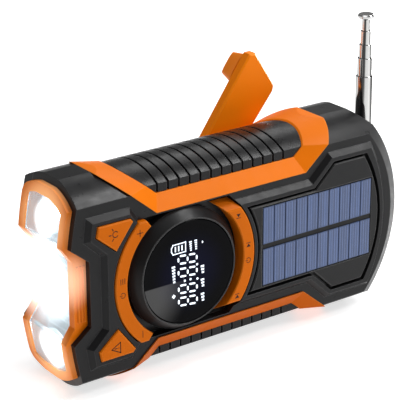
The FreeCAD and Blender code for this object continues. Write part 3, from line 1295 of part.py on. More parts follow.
# ---------------------------------------------------------------- boards, battery and speaker
def make_main_board():
    """The main circuit board, with openings for the case screws' bosses."""
    board = block((BOARD_LEFT_X, BOARD_RIGHT_X), (BOARD_Y, BOARD_Y + BOARD_THICKNESS),
                  centred(0, 2 * BOARD_HALF_HEIGHT))
    for x, z in CASE_SCREWS:
        board = board.cut(rod_y(x, z, CASE_BOSS_RADIUS + STEM_HOLE_CLEARANCE, BOARD_Y,
                                BOARD_Y + BOARD_THICKNESS))
    for x, z in BOARD_POSTS:
        board = board.cut(rod_y(x, z, SMALL_SCREW_RADIUS + SCREW_PILOT_CLEARANCE, BOARD_Y,
                                BOARD_Y + BOARD_THICKNESS))
    return board


def make_battery():
    """A cylindrical cell with its raised cap."""
    left = BATTERY_X - BATTERY_LENGTH / 2
    cell = rod_x(left, left + BATTERY_LENGTH, BATTERY_Y, BATTERY_Z, BATTERY_RADIUS)
    cap = rod_x(left + BATTERY_LENGTH, left + BATTERY_LENGTH + BATTERY_CAP, BATTERY_Y, BATTERY_Z,
                BATTERY_CAP_RADIUS)
    return cell.fuse(cap)


def make_battery_cradle():
    """Ribs that fit the bottom of the housing and hold the cell."""
    ribs = []
    for i in range(CRADLE_COUNT):
        x = BATTERY_X + (i - (CRADLE_COUNT - 1) / 2) * CRADLE_PITCH
        rib = plain_barrel(INNER_HALF_DEPTH, INNER_RADIUS, x - CRADLE_WALL / 2, x + CRADLE_WALL / 2)
        ribs.append(rib.common(block((-REACH, REACH), (-REACH, BATTERY_Y + BATTERY_RADIUS),
                                     (-REACH, BATTERY_Z))))
    span = (BATTERY_X - BATTERY_LENGTH / 2, BATTERY_X + BATTERY_LENGTH / 2)
    trough = rod_x(span[0], span[1], BATTERY_Y, BATTERY_Z, BATTERY_RADIUS + CRADLE_WALL)
    trough = trough.common(block(span, (-REACH, REACH), (-REACH, BATTERY_Z - BATTERY_RADIUS / 2)))
    trough = trough.common(plain_barrel(INNER_HALF_DEPTH, INNER_RADIUS, *span))
    cradle = fuse_all(ribs + [trough])
    return cradle.cut(rod_x(-REACH, REACH, BATTERY_Y, BATTERY_Z, BATTERY_RADIUS))


def make_speaker():
    """A small speaker bearing on the inside of the grille: rim, cone and magnet."""
    cone_y = INNER_BACK_Y - SPEAKER_RIM - SPEAKER_CONE_DEPTH
    rim = rod_y(SPEAKER_X, 0, SPEAKER_RADIUS, INNER_BACK_Y - SPEAKER_RIM, INNER_BACK_Y)
    basket = Part.makeCone(SPEAKER_MAGNET_RADIUS, SPEAKER_RADIUS, SPEAKER_CONE_DEPTH,
                           Vector(SPEAKER_X, cone_y, 0),
                           Vector(0, 1, 0))
    bowl = Part.makeCone(SPEAKER_MAGNET_RADIUS / 2, SPEAKER_RADIUS - SPEAKER_RIM, SPEAKER_CONE_DEPTH,
                         Vector(SPEAKER_X, INNER_BACK_Y - SPEAKER_CONE_DEPTH, 0), Vector(0, 1, 0))
    magnet = rod_y(SPEAKER_X, 0, SPEAKER_MAGNET_RADIUS, cone_y - SPEAKER_MAGNET, cone_y)
    return fuse_all([rim, basket, magnet]).cut(bowl)


# ---------------------------------------------------------------- screws
def screw(x, z, radius, head_radius, head, length, seat_y, towards):
    """A pan-head screw along Y: seat_y is under its head, and towards is the way it is driven."""
    shank_span = sorted((seat_y, seat_y + towards * length))
    head_span = sorted((seat_y - towards * head, seat_y))
    return rod_y(x, z, radius, *shank_span).fuse(rod_y(x, z, head_radius, *head_span))


def make_case_screws():
    """The screws that close the housing, driven from the back."""
    seat_y = BACK_Y - CASE_SCREW_SINK
    return Part.makeCompound([
        screw(x, z, CASE_SCREW_RADIUS, CASE_SCREW_HEAD_RADIUS, CASE_SCREW_HEAD, CASE_SCREW_LENGTH, seat_y, -1)
        for x, z in CASE_SCREWS])


def make_board_screws():
    """The screws that hold the main board on its posts."""
    seat_y = BOARD_Y + BOARD_THICKNESS
    length = min(SMALL_SCREW_LENGTH, seat_y - DIAL_CUP_Y)
    return Part.makeCompound([
        screw(x, z, SMALL_SCREW_RADIUS, SMALL_SCREW_HEAD_RADIUS, SMALL_SCREW_HEAD, length, seat_y, -1)
        for x, z in BOARD_POSTS])


def make_gearbox_screws():
    """The screws that hold the gearbox plate on its posts."""
    return Part.makeCompound([
        screw(x, z, SMALL_SCREW_RADIUS, SMALL_SCREW_HEAD_RADIUS, SMALL_SCREW_HEAD, SMALL_SCREW_LENGTH,
              PLATE_Y, 1)
        for x, z in PLATE_POSTS])


# ---------------------------------------------------------------- antenna
def tube_radius(i):
    """Outer radius of antenna section i, counted from the widest."""
    return TUBE_OUTER_RADIUS - i * TUBE_STEP


def tube_top(i):
    """Z of the top of antenna section i."""
    return ANTENNA_KNUCKLE_TOP + TUBE_LENGTH + sum(TUBE_REVEALS[:i + 1])


def make_tube(i):
    """One antenna section; the last is a solid rod."""
    top = tube_top(i)
    bottom = top - TUBE_LENGTH + i * TUBE_SHORTENING
    tube = rod_z(ANTENNA_X, ANTENNA_Y, bottom, top, tube_radius(i))
    tube = tube.makeChamfer(TUBE_CHAMFER, [e for e in tube.Edges if e.BoundBox.ZMin > top - TOUCH])
    if i + 1 < len(TUBE_REVEALS):
        tube = tube.cut(rod_z(ANTENNA_X, ANTENNA_Y, bottom, top, tube_radius(i + 1) + TUBE_FIT))
    return tube


def make_antenna_knuckle():
    """The flat-sided knuckle at the foot of the antenna, bored for its pin."""
    low = ANTENNA_PIVOT_Z - ANTENNA_KNUCKLE_BELOW
    knuckle = rod_z(ANTENNA_X, ANTENNA_Y, low, ANTENNA_KNUCKLE_TOP, TUBE_OUTER_RADIUS)
    return knuckle.cut(rod_y(ANTENNA_X, ANTENNA_PIVOT_Z, ANTENNA_PIN_RADIUS + RUNNING_FIT, -BODY_DEPTH,
                             BODY_DEPTH))


def make_antenna_pin():
    """The pivot pin, held by both walls of the slot."""
    half = TUBE_OUTER_RADIUS + ANTENNA_SLOT_GAP + ANTENNA_PIN_REACH
    return rod_y(ANTENNA_X, ANTENNA_PIVOT_Z, ANTENNA_PIN_RADIUS, ANTENNA_Y - half, ANTENNA_Y + half)


def make_antenna_tip():
    """The button at the antenna's end."""
    top = tube_top(len(TUBE_REVEALS) - 1)
    tip = rod_z(ANTENNA_X, ANTENNA_Y, top, top + TIP_HEIGHT, TIP_RADIUS)
    return tip.makeChamfer(TIP_CHAMFER, [e for e in tip.Edges if e.BoundBox.ZLength < TOUCH])


# ---------------------------------------------------------------- sockets
def make_port_cover():
    """The rubber cover over the sockets, hinged along its lower edge."""
    return port_layer(0.0, PORT_COVER_THICKNESS, PORT_COVER_WIDTH, PORT_COVER_LOW_Z, PORT_COVER_HIGH_Z)


def make_ports():
    """The two charging sockets: metal shells with a tongue inside."""
    ports = []
    for z, width, height, depth in port_sizes():
        front_x = port_front_x(z)
        outside = block((front_x - depth, front_x), centred(PORT_Y, width), centred(z, height))
        hollow = block((front_x - depth + PORT_TONGUE, front_x), centred(PORT_Y, width - 2 * PORT_WALL),
                       centred(z, height - 2 * PORT_WALL))
        tongue = block((front_x - depth, front_x - PORT_TONGUE), centred(PORT_Y, width - 6 * PORT_WALL),
                       centred(z, height / 4))
        ports.append(outside.cut(hollow).fuse(tongue))
    return Part.makeCompound(ports)


def main():
    """Build every node and write its file."""
    os.makedirs("parts", exist_ok=True)
    trim = make_trim()
    grip = make_grip()
    button = make_button()
    nodes = {
        "front_shell": make_front_shell(),
        "rear_cover": make_rear_cover(),
        "top_trim": trim,
        "bottom_trim": mirrored_z(trim),
        "top_grip": grip,
        "bottom_grip": mirrored_z(grip),
        "lamp_bezel": make_lamp_bezel(),
        "lamp_lens": make_lamp_lens(),
        "lamp_board": make_lamp_board(),
        "lamp_leds": make_lamps(),
        "upper_reflector": make_reflector(LAMP_Z),
        "lower_reflector": make_reflector(-LAMP_Z),
        "display_ring": make_display_ring(),
        "display_glass": make_display_glass(),
        "display_module": make_display_module(),
        "left_arc_key": make_arc_key(-1, left_key_ends),
        "right_arc_key": make_arc_key(1, right_key_ends),
        "lamp_button": button,
        "alarm_button": mirrored_z(button),
        "key_switches": make_switches(),
        "solar_frame": make_solar_frame(),
        "solar_board": make_solar_board(),
        "solar_cells": make_solar_cells(),
        "main_board": make_main_board(),
        "battery": make_battery(),
        "battery_cradle": make_battery_cradle(),
        "speaker": make_speaker(),
        "gearbox_plate": make_gearbox_plate(),
        "drive_gear": make_drive_gear(),
        "idler_gear": make_idler_gear(),
        "idler_pin": make_idler_pin(),
        "generator_case": make_generator_case(),
        "generator_rotor": make_generator_rotor(),
        "generator_pinion": make_generator_pinion(),
        "crank_bush": make_crank_bush(),
        "crank_shaft": make_crank_shaft(),
        "crank_arm": make_crank_arm(),
        "crank_screw": make_crank_screw(),
        "crank_knob": make_crank_knob(),
        "knob_pin": make_knob_pin(),
        "case_screws": make_case_screws(),
        "board_screws": make_board_screws(),
        "gearbox_screws": make_gearbox_screws(),
        "antenna_pin": make_antenna_pin(),
        "antenna_knuckle": make_antenna_knuckle(),
        "antenna_tip": make_antenna_tip(),
        "port_cover": make_port_cover(),
        "charging_ports": make_ports(),
    }
    for i in range(len(TUBE_REVEALS)):
        nodes["antenna_tube_" + str(i + 1)] = make_tube(i)
    for name, shape in nodes.items():
        save(name, shape)


main()
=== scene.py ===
"""Dresses the hand-crank charger: its moulded, metal and clear finishes, the lit display, the marks
on the keys, the solar cells' lines, and a plain studio to show it in."""

import json
import logging
import math
from abc import ABC, abstractmethod
from dataclasses import dataclass
from enum import Enum
from functools import cache
from typing import Sequence

import bmesh
import bpy
from mathutils import Matrix, Vector

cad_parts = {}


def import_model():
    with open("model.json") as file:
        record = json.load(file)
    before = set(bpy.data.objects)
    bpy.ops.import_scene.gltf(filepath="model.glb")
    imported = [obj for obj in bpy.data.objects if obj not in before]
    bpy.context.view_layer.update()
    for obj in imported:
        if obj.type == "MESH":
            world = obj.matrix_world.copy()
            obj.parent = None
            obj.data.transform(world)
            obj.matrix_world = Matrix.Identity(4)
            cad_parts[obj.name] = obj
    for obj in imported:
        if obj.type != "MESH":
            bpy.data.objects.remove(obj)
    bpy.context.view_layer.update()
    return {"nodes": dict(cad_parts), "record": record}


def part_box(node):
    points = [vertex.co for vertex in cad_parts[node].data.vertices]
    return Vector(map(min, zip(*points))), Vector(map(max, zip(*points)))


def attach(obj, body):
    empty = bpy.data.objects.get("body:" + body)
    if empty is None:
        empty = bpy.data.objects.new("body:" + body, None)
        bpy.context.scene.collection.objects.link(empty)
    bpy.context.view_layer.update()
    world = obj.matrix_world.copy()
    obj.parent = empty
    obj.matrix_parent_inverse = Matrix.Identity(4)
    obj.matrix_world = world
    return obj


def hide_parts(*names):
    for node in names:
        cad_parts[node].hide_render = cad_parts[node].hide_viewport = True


LOG = logging.getLogger("charger")
MM = 0.001
QUARTER_TURN = (math.pi / 2, 0.0, 0.0)
WHOLE = (0.0, 1.0)

Colour = tuple[float, float, float]
Place = tuple[float, float, float]
Point = tuple[float, float]
Socket = bpy.types.NodeSocket
Node = bpy.types.Node
Material = bpy.types.Material
Piece = bpy.types.Object
Loop = list[bmesh.types.BMVert]


def middle(node: str) -> Vector:
    """The middle of a CAD node's box, in metres."""
    low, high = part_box(node)
    return (Vector(low) + Vector(high)) / 2


def scaled(colour: Colour, factor: float) -> Colour:
    """The colour made lighter or darker by a factor."""
    red, green, blue = colour
    return (red * factor, green * factor, blue * factor)


# ---- node trees
class Tree:
    """A node tree, with a short call that adds a node and feeds it."""

    def __init__(self, tree: bpy.types.NodeTree) -> None:
        """Takes the tree to add to."""
        self.tree = tree

    def node(self, kind: str, inputs: dict[str | int, object] | None = None, **settings: object) -> Node:
        """Adds a node.

        Args:
            kind: The node's type name.
            inputs: What its inputs take, each a value to set or a socket to link.
            **settings: Attributes to set on it first.

        Returns:
            The new node.
        """
        made = self.tree.nodes.new(kind)
        for key, value in settings.items():
            setattr(made, key, value)
        for key, value in (inputs or {}).items():
            socket = made.inputs[key]
            if isinstance(value, Socket):
                self.tree.links.new(value, socket)
            elif socket.type == "RGBA":
                socket.default_value = (*value, 1.0)
            else:
                socket.default_value = value
        return made


class Graph(Tree):
    """A material's node tree, with the patterns, masks and sums that the finishes share.

    The noise's values crowd round a half, so the middle of its range stands for all of it. An edge is
    where the rounded normal leaves the flat one, told by the cosine between them.
    """

    NOISE_MIDDLE = (0.3, 0.7)
    EDGE_COSINES = (0.995, 0.86)
    EDGE_SAMPLES = 4

    def __init__(self, name: str) -> None:
        """Starts a material with nothing in it but its object coordinates.

        Args:
            name: The material's name.
        """
        self.material = bpy.data.materials.new(name)
        self.material.use_nodes = True
        super().__init__(self.material.node_tree)
        self.tree.nodes.clear()
        self.place = self.node("ShaderNodeTexCoord").outputs["Object"]

    def noise(self, feature: float, detail: float = 2.0, stretch: Place | None = None) -> Socket:
        """A noise pattern.

        Args:
            feature: The size of its features, in metres.
            detail: How much finer detail it holds.
            stretch: A scale for each axis, for brushed patterns.

        Returns:
            The noise's value.
        """
        place = self.place
        if stretch is not None:
            place = self.node("ShaderNodeMapping", {"Vector": place, "Scale": stretch}).outputs["Vector"]
        inputs = {"Vector": place, "Scale": 1.0 / feature, "Detail": detail}
        return self.node("ShaderNodeTexNoise", inputs).outputs["Fac"]

    def cells(self, size: float) -> Socket:
        """A pattern of cells of a size in metres, told by the distance from each one's middle."""
        inputs = {"Vector": self.place, "Scale": 1.0 / size}
        return self.node("ShaderNodeTexVoronoi", inputs, feature="F1").outputs["Distance"]

    def remap(self, source: Socket, old: Point, new: Point = WHOLE, eased: bool = False) -> Socket:
        """Maps a value from one range to another, clamped.

        Args:
            source: The value.
            old: The two ends of its range.
            new: What they become.
            eased: Whether it starts and ends gently.

        Returns:
            The mapped value.
        """
        inputs = dict(zip(("Value", "From Min", "From Max", "To Min", "To Max"), (source, *old, *new)))
        shape = "SMOOTHSTEP" if eased else "LINEAR"
        return self.node("ShaderNodeMapRange", inputs, interpolation_type=shape).outputs["Result"]

    def spread(self, pattern: Socket, low: float, high: float) -> Socket:
        """Spreads a noise pattern over a range of values."""
        return self.remap(pattern, self.NOISE_MIDDLE, (low, high))

    def blend(self, factor: Socket, first: Colour | Socket, second: Colour | Socket) -> Socket:
        """Mixes two colours, each a value or a socket, by a factor."""
        return self.node("ShaderNodeMix", {0: factor, 6: first, 7: second}, data_type="RGBA").outputs[2]

    def mottled(self, colour: Colour, feature: float, darker: float, lighter: float,
                detail: float = 2.0) -> Socket:
        """A colour that drifts between a darker and a lighter share of itself."""
        return self.blend(self.noise(feature, detail), scaled(colour, darker), scaled(colour, lighter))

    def bump(self, height: Socket, depth: float, strength: float, under: Socket | None = None) -> Socket:
        """A bumped normal.

        Args:
            height: The height pattern, from 0 to 1.
            depth: What a height of 1 stands for, in metres.
            strength: How strongly it shows.
            under: A normal to bump, such as a softened edge's.

        Returns:
            The normal.
        """
        inputs = {"Height": height, "Distance": depth, "Strength": strength}
        if under is not None:
            inputs["Normal"] = under
        return self.node("ShaderNodeBump", inputs).outputs["Normal"]

    def soft_edges(self, radius: float) -> tuple[Socket, Socket]:
        """A normal that rounds edges, and a mask that is 1 on them.

        Args:
            radius: The rounding's radius, in metres.

        Returns:
            The normal and the mask.
        """
        rounded = self.node("ShaderNodeBevel", {"Radius": radius}, samples=self.EDGE_SAMPLES).outputs[0]
        flat = self.node("ShaderNodeNewGeometry").outputs["Normal"]
        cosine = self.node("ShaderNodeVectorMath", {0: rounded, 1: flat}, operation="DOT_PRODUCT")
        return rounded, self.remap(cosine.outputs["Value"], self.EDGE_COSINES)

    def near(self, centre: Vector, core: float, reach: float) -> Socket:
        """A mask that is 1 within a core round a point and has faded to 0 at its reach, in metres."""
        apart = self.node("ShaderNodeVectorMath", {0: self.place, 1: centre}, operation="DISTANCE")
        return self.remap(apart.outputs["Value"], (core, reach), (1.0, 0.0), eased=True)

    def below(self, height: float, softness: float = 0.4 * MM) -> Socket:
        """A mask that is 1 under a height and 0 a little over it, in metres."""
        split = self.node("ShaderNodeSeparateXYZ", {0: self.place})
        return self.remap(split.outputs["Z"], (height, height + softness), (1.0, 0.0))

    def maths(self, operation: str, *values: float | Socket) -> Socket:
        """One step of arithmetic on numbers or sockets."""
        return self.node("ShaderNodeMath", dict(enumerate(values)), operation=operation).outputs["Value"]

    def total(self, sources: Sequence[Socket], kind: str = "ShaderNodeMath") -> Socket:
        """Adds values or colours up.

        Args:
            sources: What is added.
            kind: The node that adds: Math for values, Vector Math for colours.

        Returns:
            Their sum.
        """
        summed = sources[0]
        for source in sources[1:]:
            summed = self.node(kind, {0: summed, 1: source}, operation="ADD").outputs[0]
        return summed

    def round_axis(self, axis: Vector, waves: float, phase: float) -> Socket:
        """A cosine of the angle round an upright axis.

        Args:
            axis: A point that the axis stands through, in metres.
            waves: How many times it rises and falls in a turn.
            phase: What is added to the angle, in radians.

        Returns:
            The cosine, from -1 to 1.
        """
        split = self.node("ShaderNodeSeparateXYZ", {0: self.place})
        across = self.maths("SUBTRACT", split.outputs["X"], axis.x)
        along = self.maths("SUBTRACT", split.outputs["Y"], axis.y)
        angle = self.maths("ARCTAN2", along, across)
        return self.maths("COSINE", self.maths("MULTIPLY_ADD", angle, waves, phase))

    def surface(self, **values: object) -> None:
        """Ends the tree with a Principled shader.

        Args:
            **values: Its inputs by name, with underscores for spaces, each a value or a socket.
        """
        inputs = {key.replace("_", " "): value for key, value in values.items()}
        shader = self.node("ShaderNodeBsdfPrincipled", inputs)
        self.node("ShaderNodeOutputMaterial", {"Surface": shader.outputs[0]})


# ---- finishes
# A brushed pattern's scale along each axis: the least one is the way that it is drawn out.
EVERY_WAY: Place = (1.0, 1.0, 1.0)
ALONG_Y: Place = (1.0, 0.05, 1.0)
ALONG_Z: Place = (1.0, 1.0, 0.03)
IN_BANDS: Place = (1.0, 0.02, 0.02)


@dataclass(frozen=True)
class Finish(ABC):
    """A named look that a piece can wear."""

    name: str
    colour: Colour

    @cache
    def material(self) -> Material:
        """Makes the finish's material, only once.

        Returns:
            The material.
        """
        graph = Graph(self.name)
        self.shade(graph)
        return graph.material

    @abstractmethod
    def shade(self, graph: Graph) -> None:
        """Fills the material's tree, each kind of finish in its own way."""


@dataclass(frozen=True)
class Glow:
    """Light that a lamp throws into the plastic around a point, which is placed from a node's middle.

    Its sizes are in millimetres: it is even within its core and has faded out at its reach.
    """

    node: str
    offset: Place
    core: float
    reach: float
    strength: float
    colour: Colour = (1.0, 0.66, 0.34)

    def light(self, graph: Graph) -> Socket:
        """How strongly the surface glows."""
        centre = middle(self.node) + Vector(self.offset) * MM
        return graph.maths("MULTIPLY", graph.near(centre, self.core * MM, self.reach * MM), self.strength)

    def tint(self, graph: Graph) -> Socket:
        """The light that the surface gives off, in the glow's colour."""
        inputs = {0: self.colour, "Scale": self.light(graph)}
        return graph.node("ShaderNodeVectorMath", inputs, operation="SCALE").outputs["Vector"]


@dataclass(frozen=True)
class Moulded(Finish):
    """A moulded plastic or rubber with a fine spark texture, and a painted highlight that lightens its
    edges.
    """

    roughness: float
    unevenness: float = 0.05
    mottle: float = 20 * MM
    speck: float = 0.6 * MM
    speck_band: Point = (0.62, 0.75)
    speck_amount: float = 0.18
    speck_light: float = 1.25
    grain: float = 0.35 * MM
    grain_depth: float = 0.012 * MM
    edge: float = 0.4 * MM
    # The edge colour is mixed into the edges by the edge amount, as a painted highlight.
    edge_highlight_colour: Colour = (0.12, 0.12, 0.125)
    edge_highlight_amount: float = 0.6
    sheen: float = 0.18
    # Painted glow: emission that stands in for the lamps' light on the plastic.
    glows: tuple[Glow, ...] = ()

    def shade(self, graph: Graph) -> None:
        """Builds the plastic.

        Args:
            graph: Its tree.
        """
        body = graph.mottled(self.colour, self.mottle, darker=0.93, lighter=1.07, detail=3.0)
        specks = graph.remap(graph.noise(self.speck), self.speck_band, (0.0, self.speck_amount))
        body = graph.blend(specks, body, scaled(self.colour, self.speck_light))
        rounded, on_edge = graph.soft_edges(self.edge)
        # Painted highlight: the edge colour mixed in along the edges.
        edges = graph.remap(on_edge, WHOLE, (0.0, self.edge_highlight_amount))
        colour = graph.blend(edges, body, self.edge_highlight_colour)
        smears = graph.noise(4 * MM, detail=4.0)
        rough = graph.spread(smears, self.roughness - self.unevenness, self.roughness + self.unevenness)
        normal = graph.bump(graph.noise(self.grain), self.grain_depth, strength=0.6, under=rounded)
        lit = {}
        if self.glows:
            light = graph.total([glow.tint(graph) for glow in self.glows], "ShaderNodeVectorMath")
            lit = {"Emission_Color": light, "Emission_Strength": 1.0}
        graph.surface(Base_Color=colour, Roughness=rough, Normal=normal,
                      Specular_IOR_Level=self.sheen, **lit)


@dataclass(frozen=True)
class Turned(Finish):
    """A metal with fine tool marks drawn out along one axis, a gloss that they vary, and soft edges."""

    roughness: float
    stretch: Place = EVERY_WAY
    polished: float = 0.8
    worn: float = 1.25
    edge: float = 0.15 * MM
    mark_depth: float = 0.004 * MM
    mark_strength: float = 0.5

    def patterns(self, graph: Graph) -> tuple[Socket, Socket, Socket]:
        """The metal's colour, and the noise that its gloss and its tool marks follow."""
        marks = graph.noise(0.4 * MM, stretch=self.stretch)
        return graph.mottled(self.colour, 6 * MM, darker=0.9, lighter=1.06), marks, marks

    def shade(self, graph: Graph) -> None:
        """Builds the metal.

        Args:
            graph: Its tree.
        """
        colour, wear, marks = self.patterns(graph)
        rough = graph.spread(wear, self.roughness * self.polished, self.roughness * self.worn)
        rounded, _ = graph.soft_edges(self.edge)
        normal = graph.bump(marks, self.mark_depth, self.mark_strength, rounded)
        graph.surface(Base_Color=colour, Metallic=1.0, Roughness=rough, Normal=normal)


@dataclass(frozen=True)
class ReflectionStreakedTube(Turned):
    """Plated tube with dark and light streaks painted along it, which stand in for reflections.

    The lines go round the middle of one node, in waves turned by an angle in degrees, and wander a
    little along it. What is over the wave's band is dark.
    """

    mark_strength: float = 0.4
    node: str = "antenna_tube_1"
    # The dark of the painted reflection streaks; their light is the finish's colour.
    dark: Colour = (0.05, 0.05, 0.05)
    lines: float = 5.0
    turn: float = -5.0
    wander: float = 0.35
    band: Point = (0.75, 0.1)

    def patterns(self, graph: Graph) -> tuple[Socket, Socket, Socket]:
        """The tube's painted reflection streaks, and the noise that its gloss and its tool marks follow.

        Args:
            graph: Its tree.

        Returns:
            The colour, the gloss's noise and the marks' noise.
        """
        # Painted reflection: dark and light streaks round the tube.
        wave = graph.round_axis(middle(self.node), self.lines, math.radians(self.turn))
        astray = graph.spread(graph.noise(1.6 * MM, 1.0, self.stretch), -self.wander, self.wander)
        light = graph.remap(graph.maths("ADD", wave, astray), self.band)
        colour = graph.blend(light, self.dark, self.colour)
        return colour, graph.noise(3 * MM), graph.noise(0.3 * MM, 1.0, self.stretch)


@dataclass(frozen=True)
class Cover(Finish):
    """What the two clear covers share: a gloss that varies a little and a slow moulded ripple."""

    gloss: Point

    def moulding(self, graph: Graph) -> dict[str, Socket]:
        """The shader inputs that every cover has.

        Args:
            graph: Its tree.

        Returns:
            The roughness and the normal, by the shader's names.
        """
        rough = graph.spread(graph.noise(2 * MM, detail=3.0), *self.gloss)
        ripple = graph.bump(graph.noise(8 * MM, detail=1.0), depth=0.01 * MM, strength=0.3)
        return {"Roughness": rough, "Normal": ripple}


@dataclass(frozen=True)
class LampCover(Cover):
    """The clear cover over the lamps, filled with their light around each one."""

    glows: tuple[Glow, ...]
    # Painted glow: a faint emission over the whole cover, varying a little, under the lamps' glows.
    cover_glow: Point = (0.066, 0.154)
    light_colour: Colour = (0.86, 0.96, 1.0)
    clearness: float = 0.75
    index: float = 1.3

    def shade(self, graph: Graph) -> None:
        """Builds the cover.

        Args:
            graph: Its tree.
        """
        colour = graph.mottled(self.colour, 10 * MM, darker=0.96, lighter=1.0)
        cover_glow = graph.remap(graph.noise(6 * MM), WHOLE, self.cover_glow)
        light = graph.total([cover_glow, *[glow.light(graph) for glow in self.glows]])
        graph.surface(Base_Color=colour, Transmission_Weight=self.clearness, IOR=self.index,
                      Emission_Color=self.light_colour, Emission_Strength=light, **self.moulding(graph))


@dataclass(frozen=True)
class SmokedCover(Cover):
    """The smoked cover of the display: nearly black, glossier in one corner, lit blue by its figures.

    The glossier corner ends at a height that is told from the cover's middle, in millimetres.
    """

    sheen: Glow
    sheen_top: float
    backlight: Glow
    dull: float = 0.03

    def shade(self, graph: Graph) -> None:
        """Builds the cover.

        Args:
            graph: Its tree.
        """
        colour = graph.mottled(self.colour, 10 * MM, darker=0.7, lighter=1.3)
        under_top = graph.below(middle(self.sheen.node).z + self.sheen_top * MM)
        corner = graph.maths("MULTIPLY", self.sheen.light(graph), under_top)
        gloss = graph.remap(corner, WHOLE, (self.dull, 1.0))
        graph.surface(Base_Color=colour, Specular_IOR_Level=gloss, Emission_Color=self.backlight.colour,
                      Emission_Strength=self.backlight.light(graph), **self.moulding(graph))


@dataclass(frozen=True)
class Lit(Finish):
    """A lit surface, a little uneven as phosphor is."""

    strength: float
    feature: float = 0.6 * MM

    def shade(self, graph: Graph) -> None:
        """Builds the light."""
        colour = graph.mottled(self.colour, self.feature, darker=0.86, lighter=1.0)
        graph.surface(Base_Color=colour, Roughness=0.4, Emission_Color=colour,
                      Emission_Strength=self.strength)


@dataclass(frozen=True)
class LitBowl(Finish):
    """A metallised reflector with its lamp on, faceted."""

    strength: float
    facet: float = 2.2 * MM
    facet_depth: float = 0.3 * MM

    def shade(self, graph: Graph) -> None:
        """Builds the reflector.

        Args:
            graph: Its tree.
        """
        normal = graph.bump(graph.cells(self.facet), self.facet_depth, strength=0.8)
        tint = graph.mottled(self.colour, 3 * MM, darker=0.9, lighter=1.0)
        graph.surface(Base_Color=tint, Metallic=0.9, Roughness=0.16, Normal=normal, Emission_Color=tint,
                      Emission_Strength=self.strength)


@dataclass(frozen=True)
class Silicon(Finish):
    """A solar cell under its clear coat: blue, banded across its width, with fine crystals."""

    gloss: Point = (0.28, 0.4)
    band: float = 1.1 * MM
    band_range: Point = (0.35, 0.65)
    crystal: float = 1.8 * MM
    crystal_amount: float = 0.25
    crystal_shade: float = 0.6

    def shade(self, graph: Graph) -> None:
        """Builds the cell.

        Args:
            graph: Its tree.
        """
        bands = graph.noise(self.band, 1.0, IN_BANDS)
        banded = graph.remap(bands, self.band_range)
        tone = graph.blend(banded, scaled(self.colour, factor=0.8), scaled(self.colour, factor=1.2))
        crystals = graph.remap(graph.cells(self.crystal), WHOLE, (0.0, self.crystal_amount))
        tone = graph.blend(crystals, tone, scaled(self.colour, self.crystal_shade))
        rough = graph.spread(graph.noise(3 * MM, detail=3.0), *self.gloss)
        normal = graph.bump(bands, depth=0.01 * MM, strength=0.4)
        graph.surface(Base_Color=tone, Roughness=rough, Normal=normal, Coat_Weight=0.25,
                      Coat_Roughness=0.12)


@dataclass(frozen=True)
class SolderMask(Finish):
    """A circuit board's mask, with raised copper tracks under it."""

    gloss: Point = (0.3, 0.45)
    track_scale: float = 60.0
    track_width: float = 0.03
    track_depth: float = 0.04 * MM
    track_light: float = 1.9

    def shade(self, graph: Graph) -> None:
        """Builds the mask.

        Args:
            graph: Its tree.
        """
        upright = graph.node("ShaderNodeMapping", {"Vector": graph.place, "Rotation": QUARTER_TURN})
        inputs = {"Vector": upright.outputs["Vector"], "Scale": self.track_scale,
                  "Mortar Size": self.track_width, "Mortar Smooth": 0.2}
        bricks = graph.node("ShaderNodeTexBrick", inputs, offset=0.4, squash=0.7, squash_frequency=3)
        tracks = bricks.outputs["Fac"]
        colour = graph.blend(tracks, self.colour, scaled(self.colour, self.track_light))
        rough = graph.spread(graph.noise(1 * MM), *self.gloss)
        normal = graph.bump(tracks, self.track_depth, strength=0.7)
        graph.surface(Base_Color=colour, Roughness=rough, Normal=normal, Coat_Weight=0.3)


ORANGE: Colour = (0.81, 0.178, 0.002)
# Painted light: the same orange, made brighter for the crank, which the lamps reach less.
CRANK_ORANGE_PAINTED_LIGHT: Colour = (1.0, 0.24, 0.002)
# Painted shade: the same orange, darkened for the keys.
SHADED_KEY_ORANGE: Colour = (0.60, 0.128, 0.001)
# Painted shade: the same orange, darkened for the lower trim, which faces away from the lamps.
SHADED_LOWER_ORANGE: Colour = (0.50, 0.095, 0.001)
# The colour of the painted highlight along the orange plastics' edges.
ORANGE_EDGE_HIGHLIGHT: Colour = (1.0, 0.36, 0.06)
BLACK: Colour = (0.0085, 0.0085, 0.009)
DARKER_BLACK = scaled(BLACK, 0.9)
LIGHTER_BLACK = scaled(BLACK, 1.3)

# Painted glows on the clear lamp cover, standing in for the lamps' light around them.
LAMP_GLOWS = (
    Glow("upper_reflector", (-4.2, -0.5, -1.4), 5.0, 8.5, 0.9),
    Glow("lower_reflector", (-4.2, -0.5, 1.3), 5.0, 9.0, 0.9),
    Glow("lamp_lens", (-2.55, 4.0, -1.3), 7.0, 19.0, 1.1),
)
# Painted glows on the orange bezel, standing in for the lamps' light spilling over it.
RIM_GLOWS = (
    Glow("lamp_bezel", (-4.75, 12.25, 0.7), 9.0, 20.0, 2.0, (1.0, 0.90, 0.82)),
    Glow("lamp_bezel", (-4.75, -13.25, 5.7), 2.0, 15.0, 0.75, (1.0, 0.76, 0.56)),
    Glow("upper_reflector", (-7.2, -0.5, -1.4), 9.0, 19.0, 0.50),
    Glow("lower_reflector", (-7.2, -0.5, 1.3), 9.0, 19.0, 0.55),
)
CORNER_SHEEN = Glow("display_glass", (-20.5, -0.7, -5.8), 6.0, 21.0, 0.55)
BACKLIGHT = Glow("display_glass", (0.0, -0.7, -0.3), 6.0, 19.0, 0.012, (0.12, 0.16, 1.0))


def orange(name: str, colour: Colour, roughness: float = 0.4, sheen: float = 0.1,
           glows: tuple[Glow, ...] = ()) -> Moulded:
    """An orange plastic with a pale painted highlight along its edges."""
    return Moulded(name, colour, roughness, edge_highlight_colour=ORANGE_EDGE_HIGHLIGHT, sheen=sheen, glows=glows)
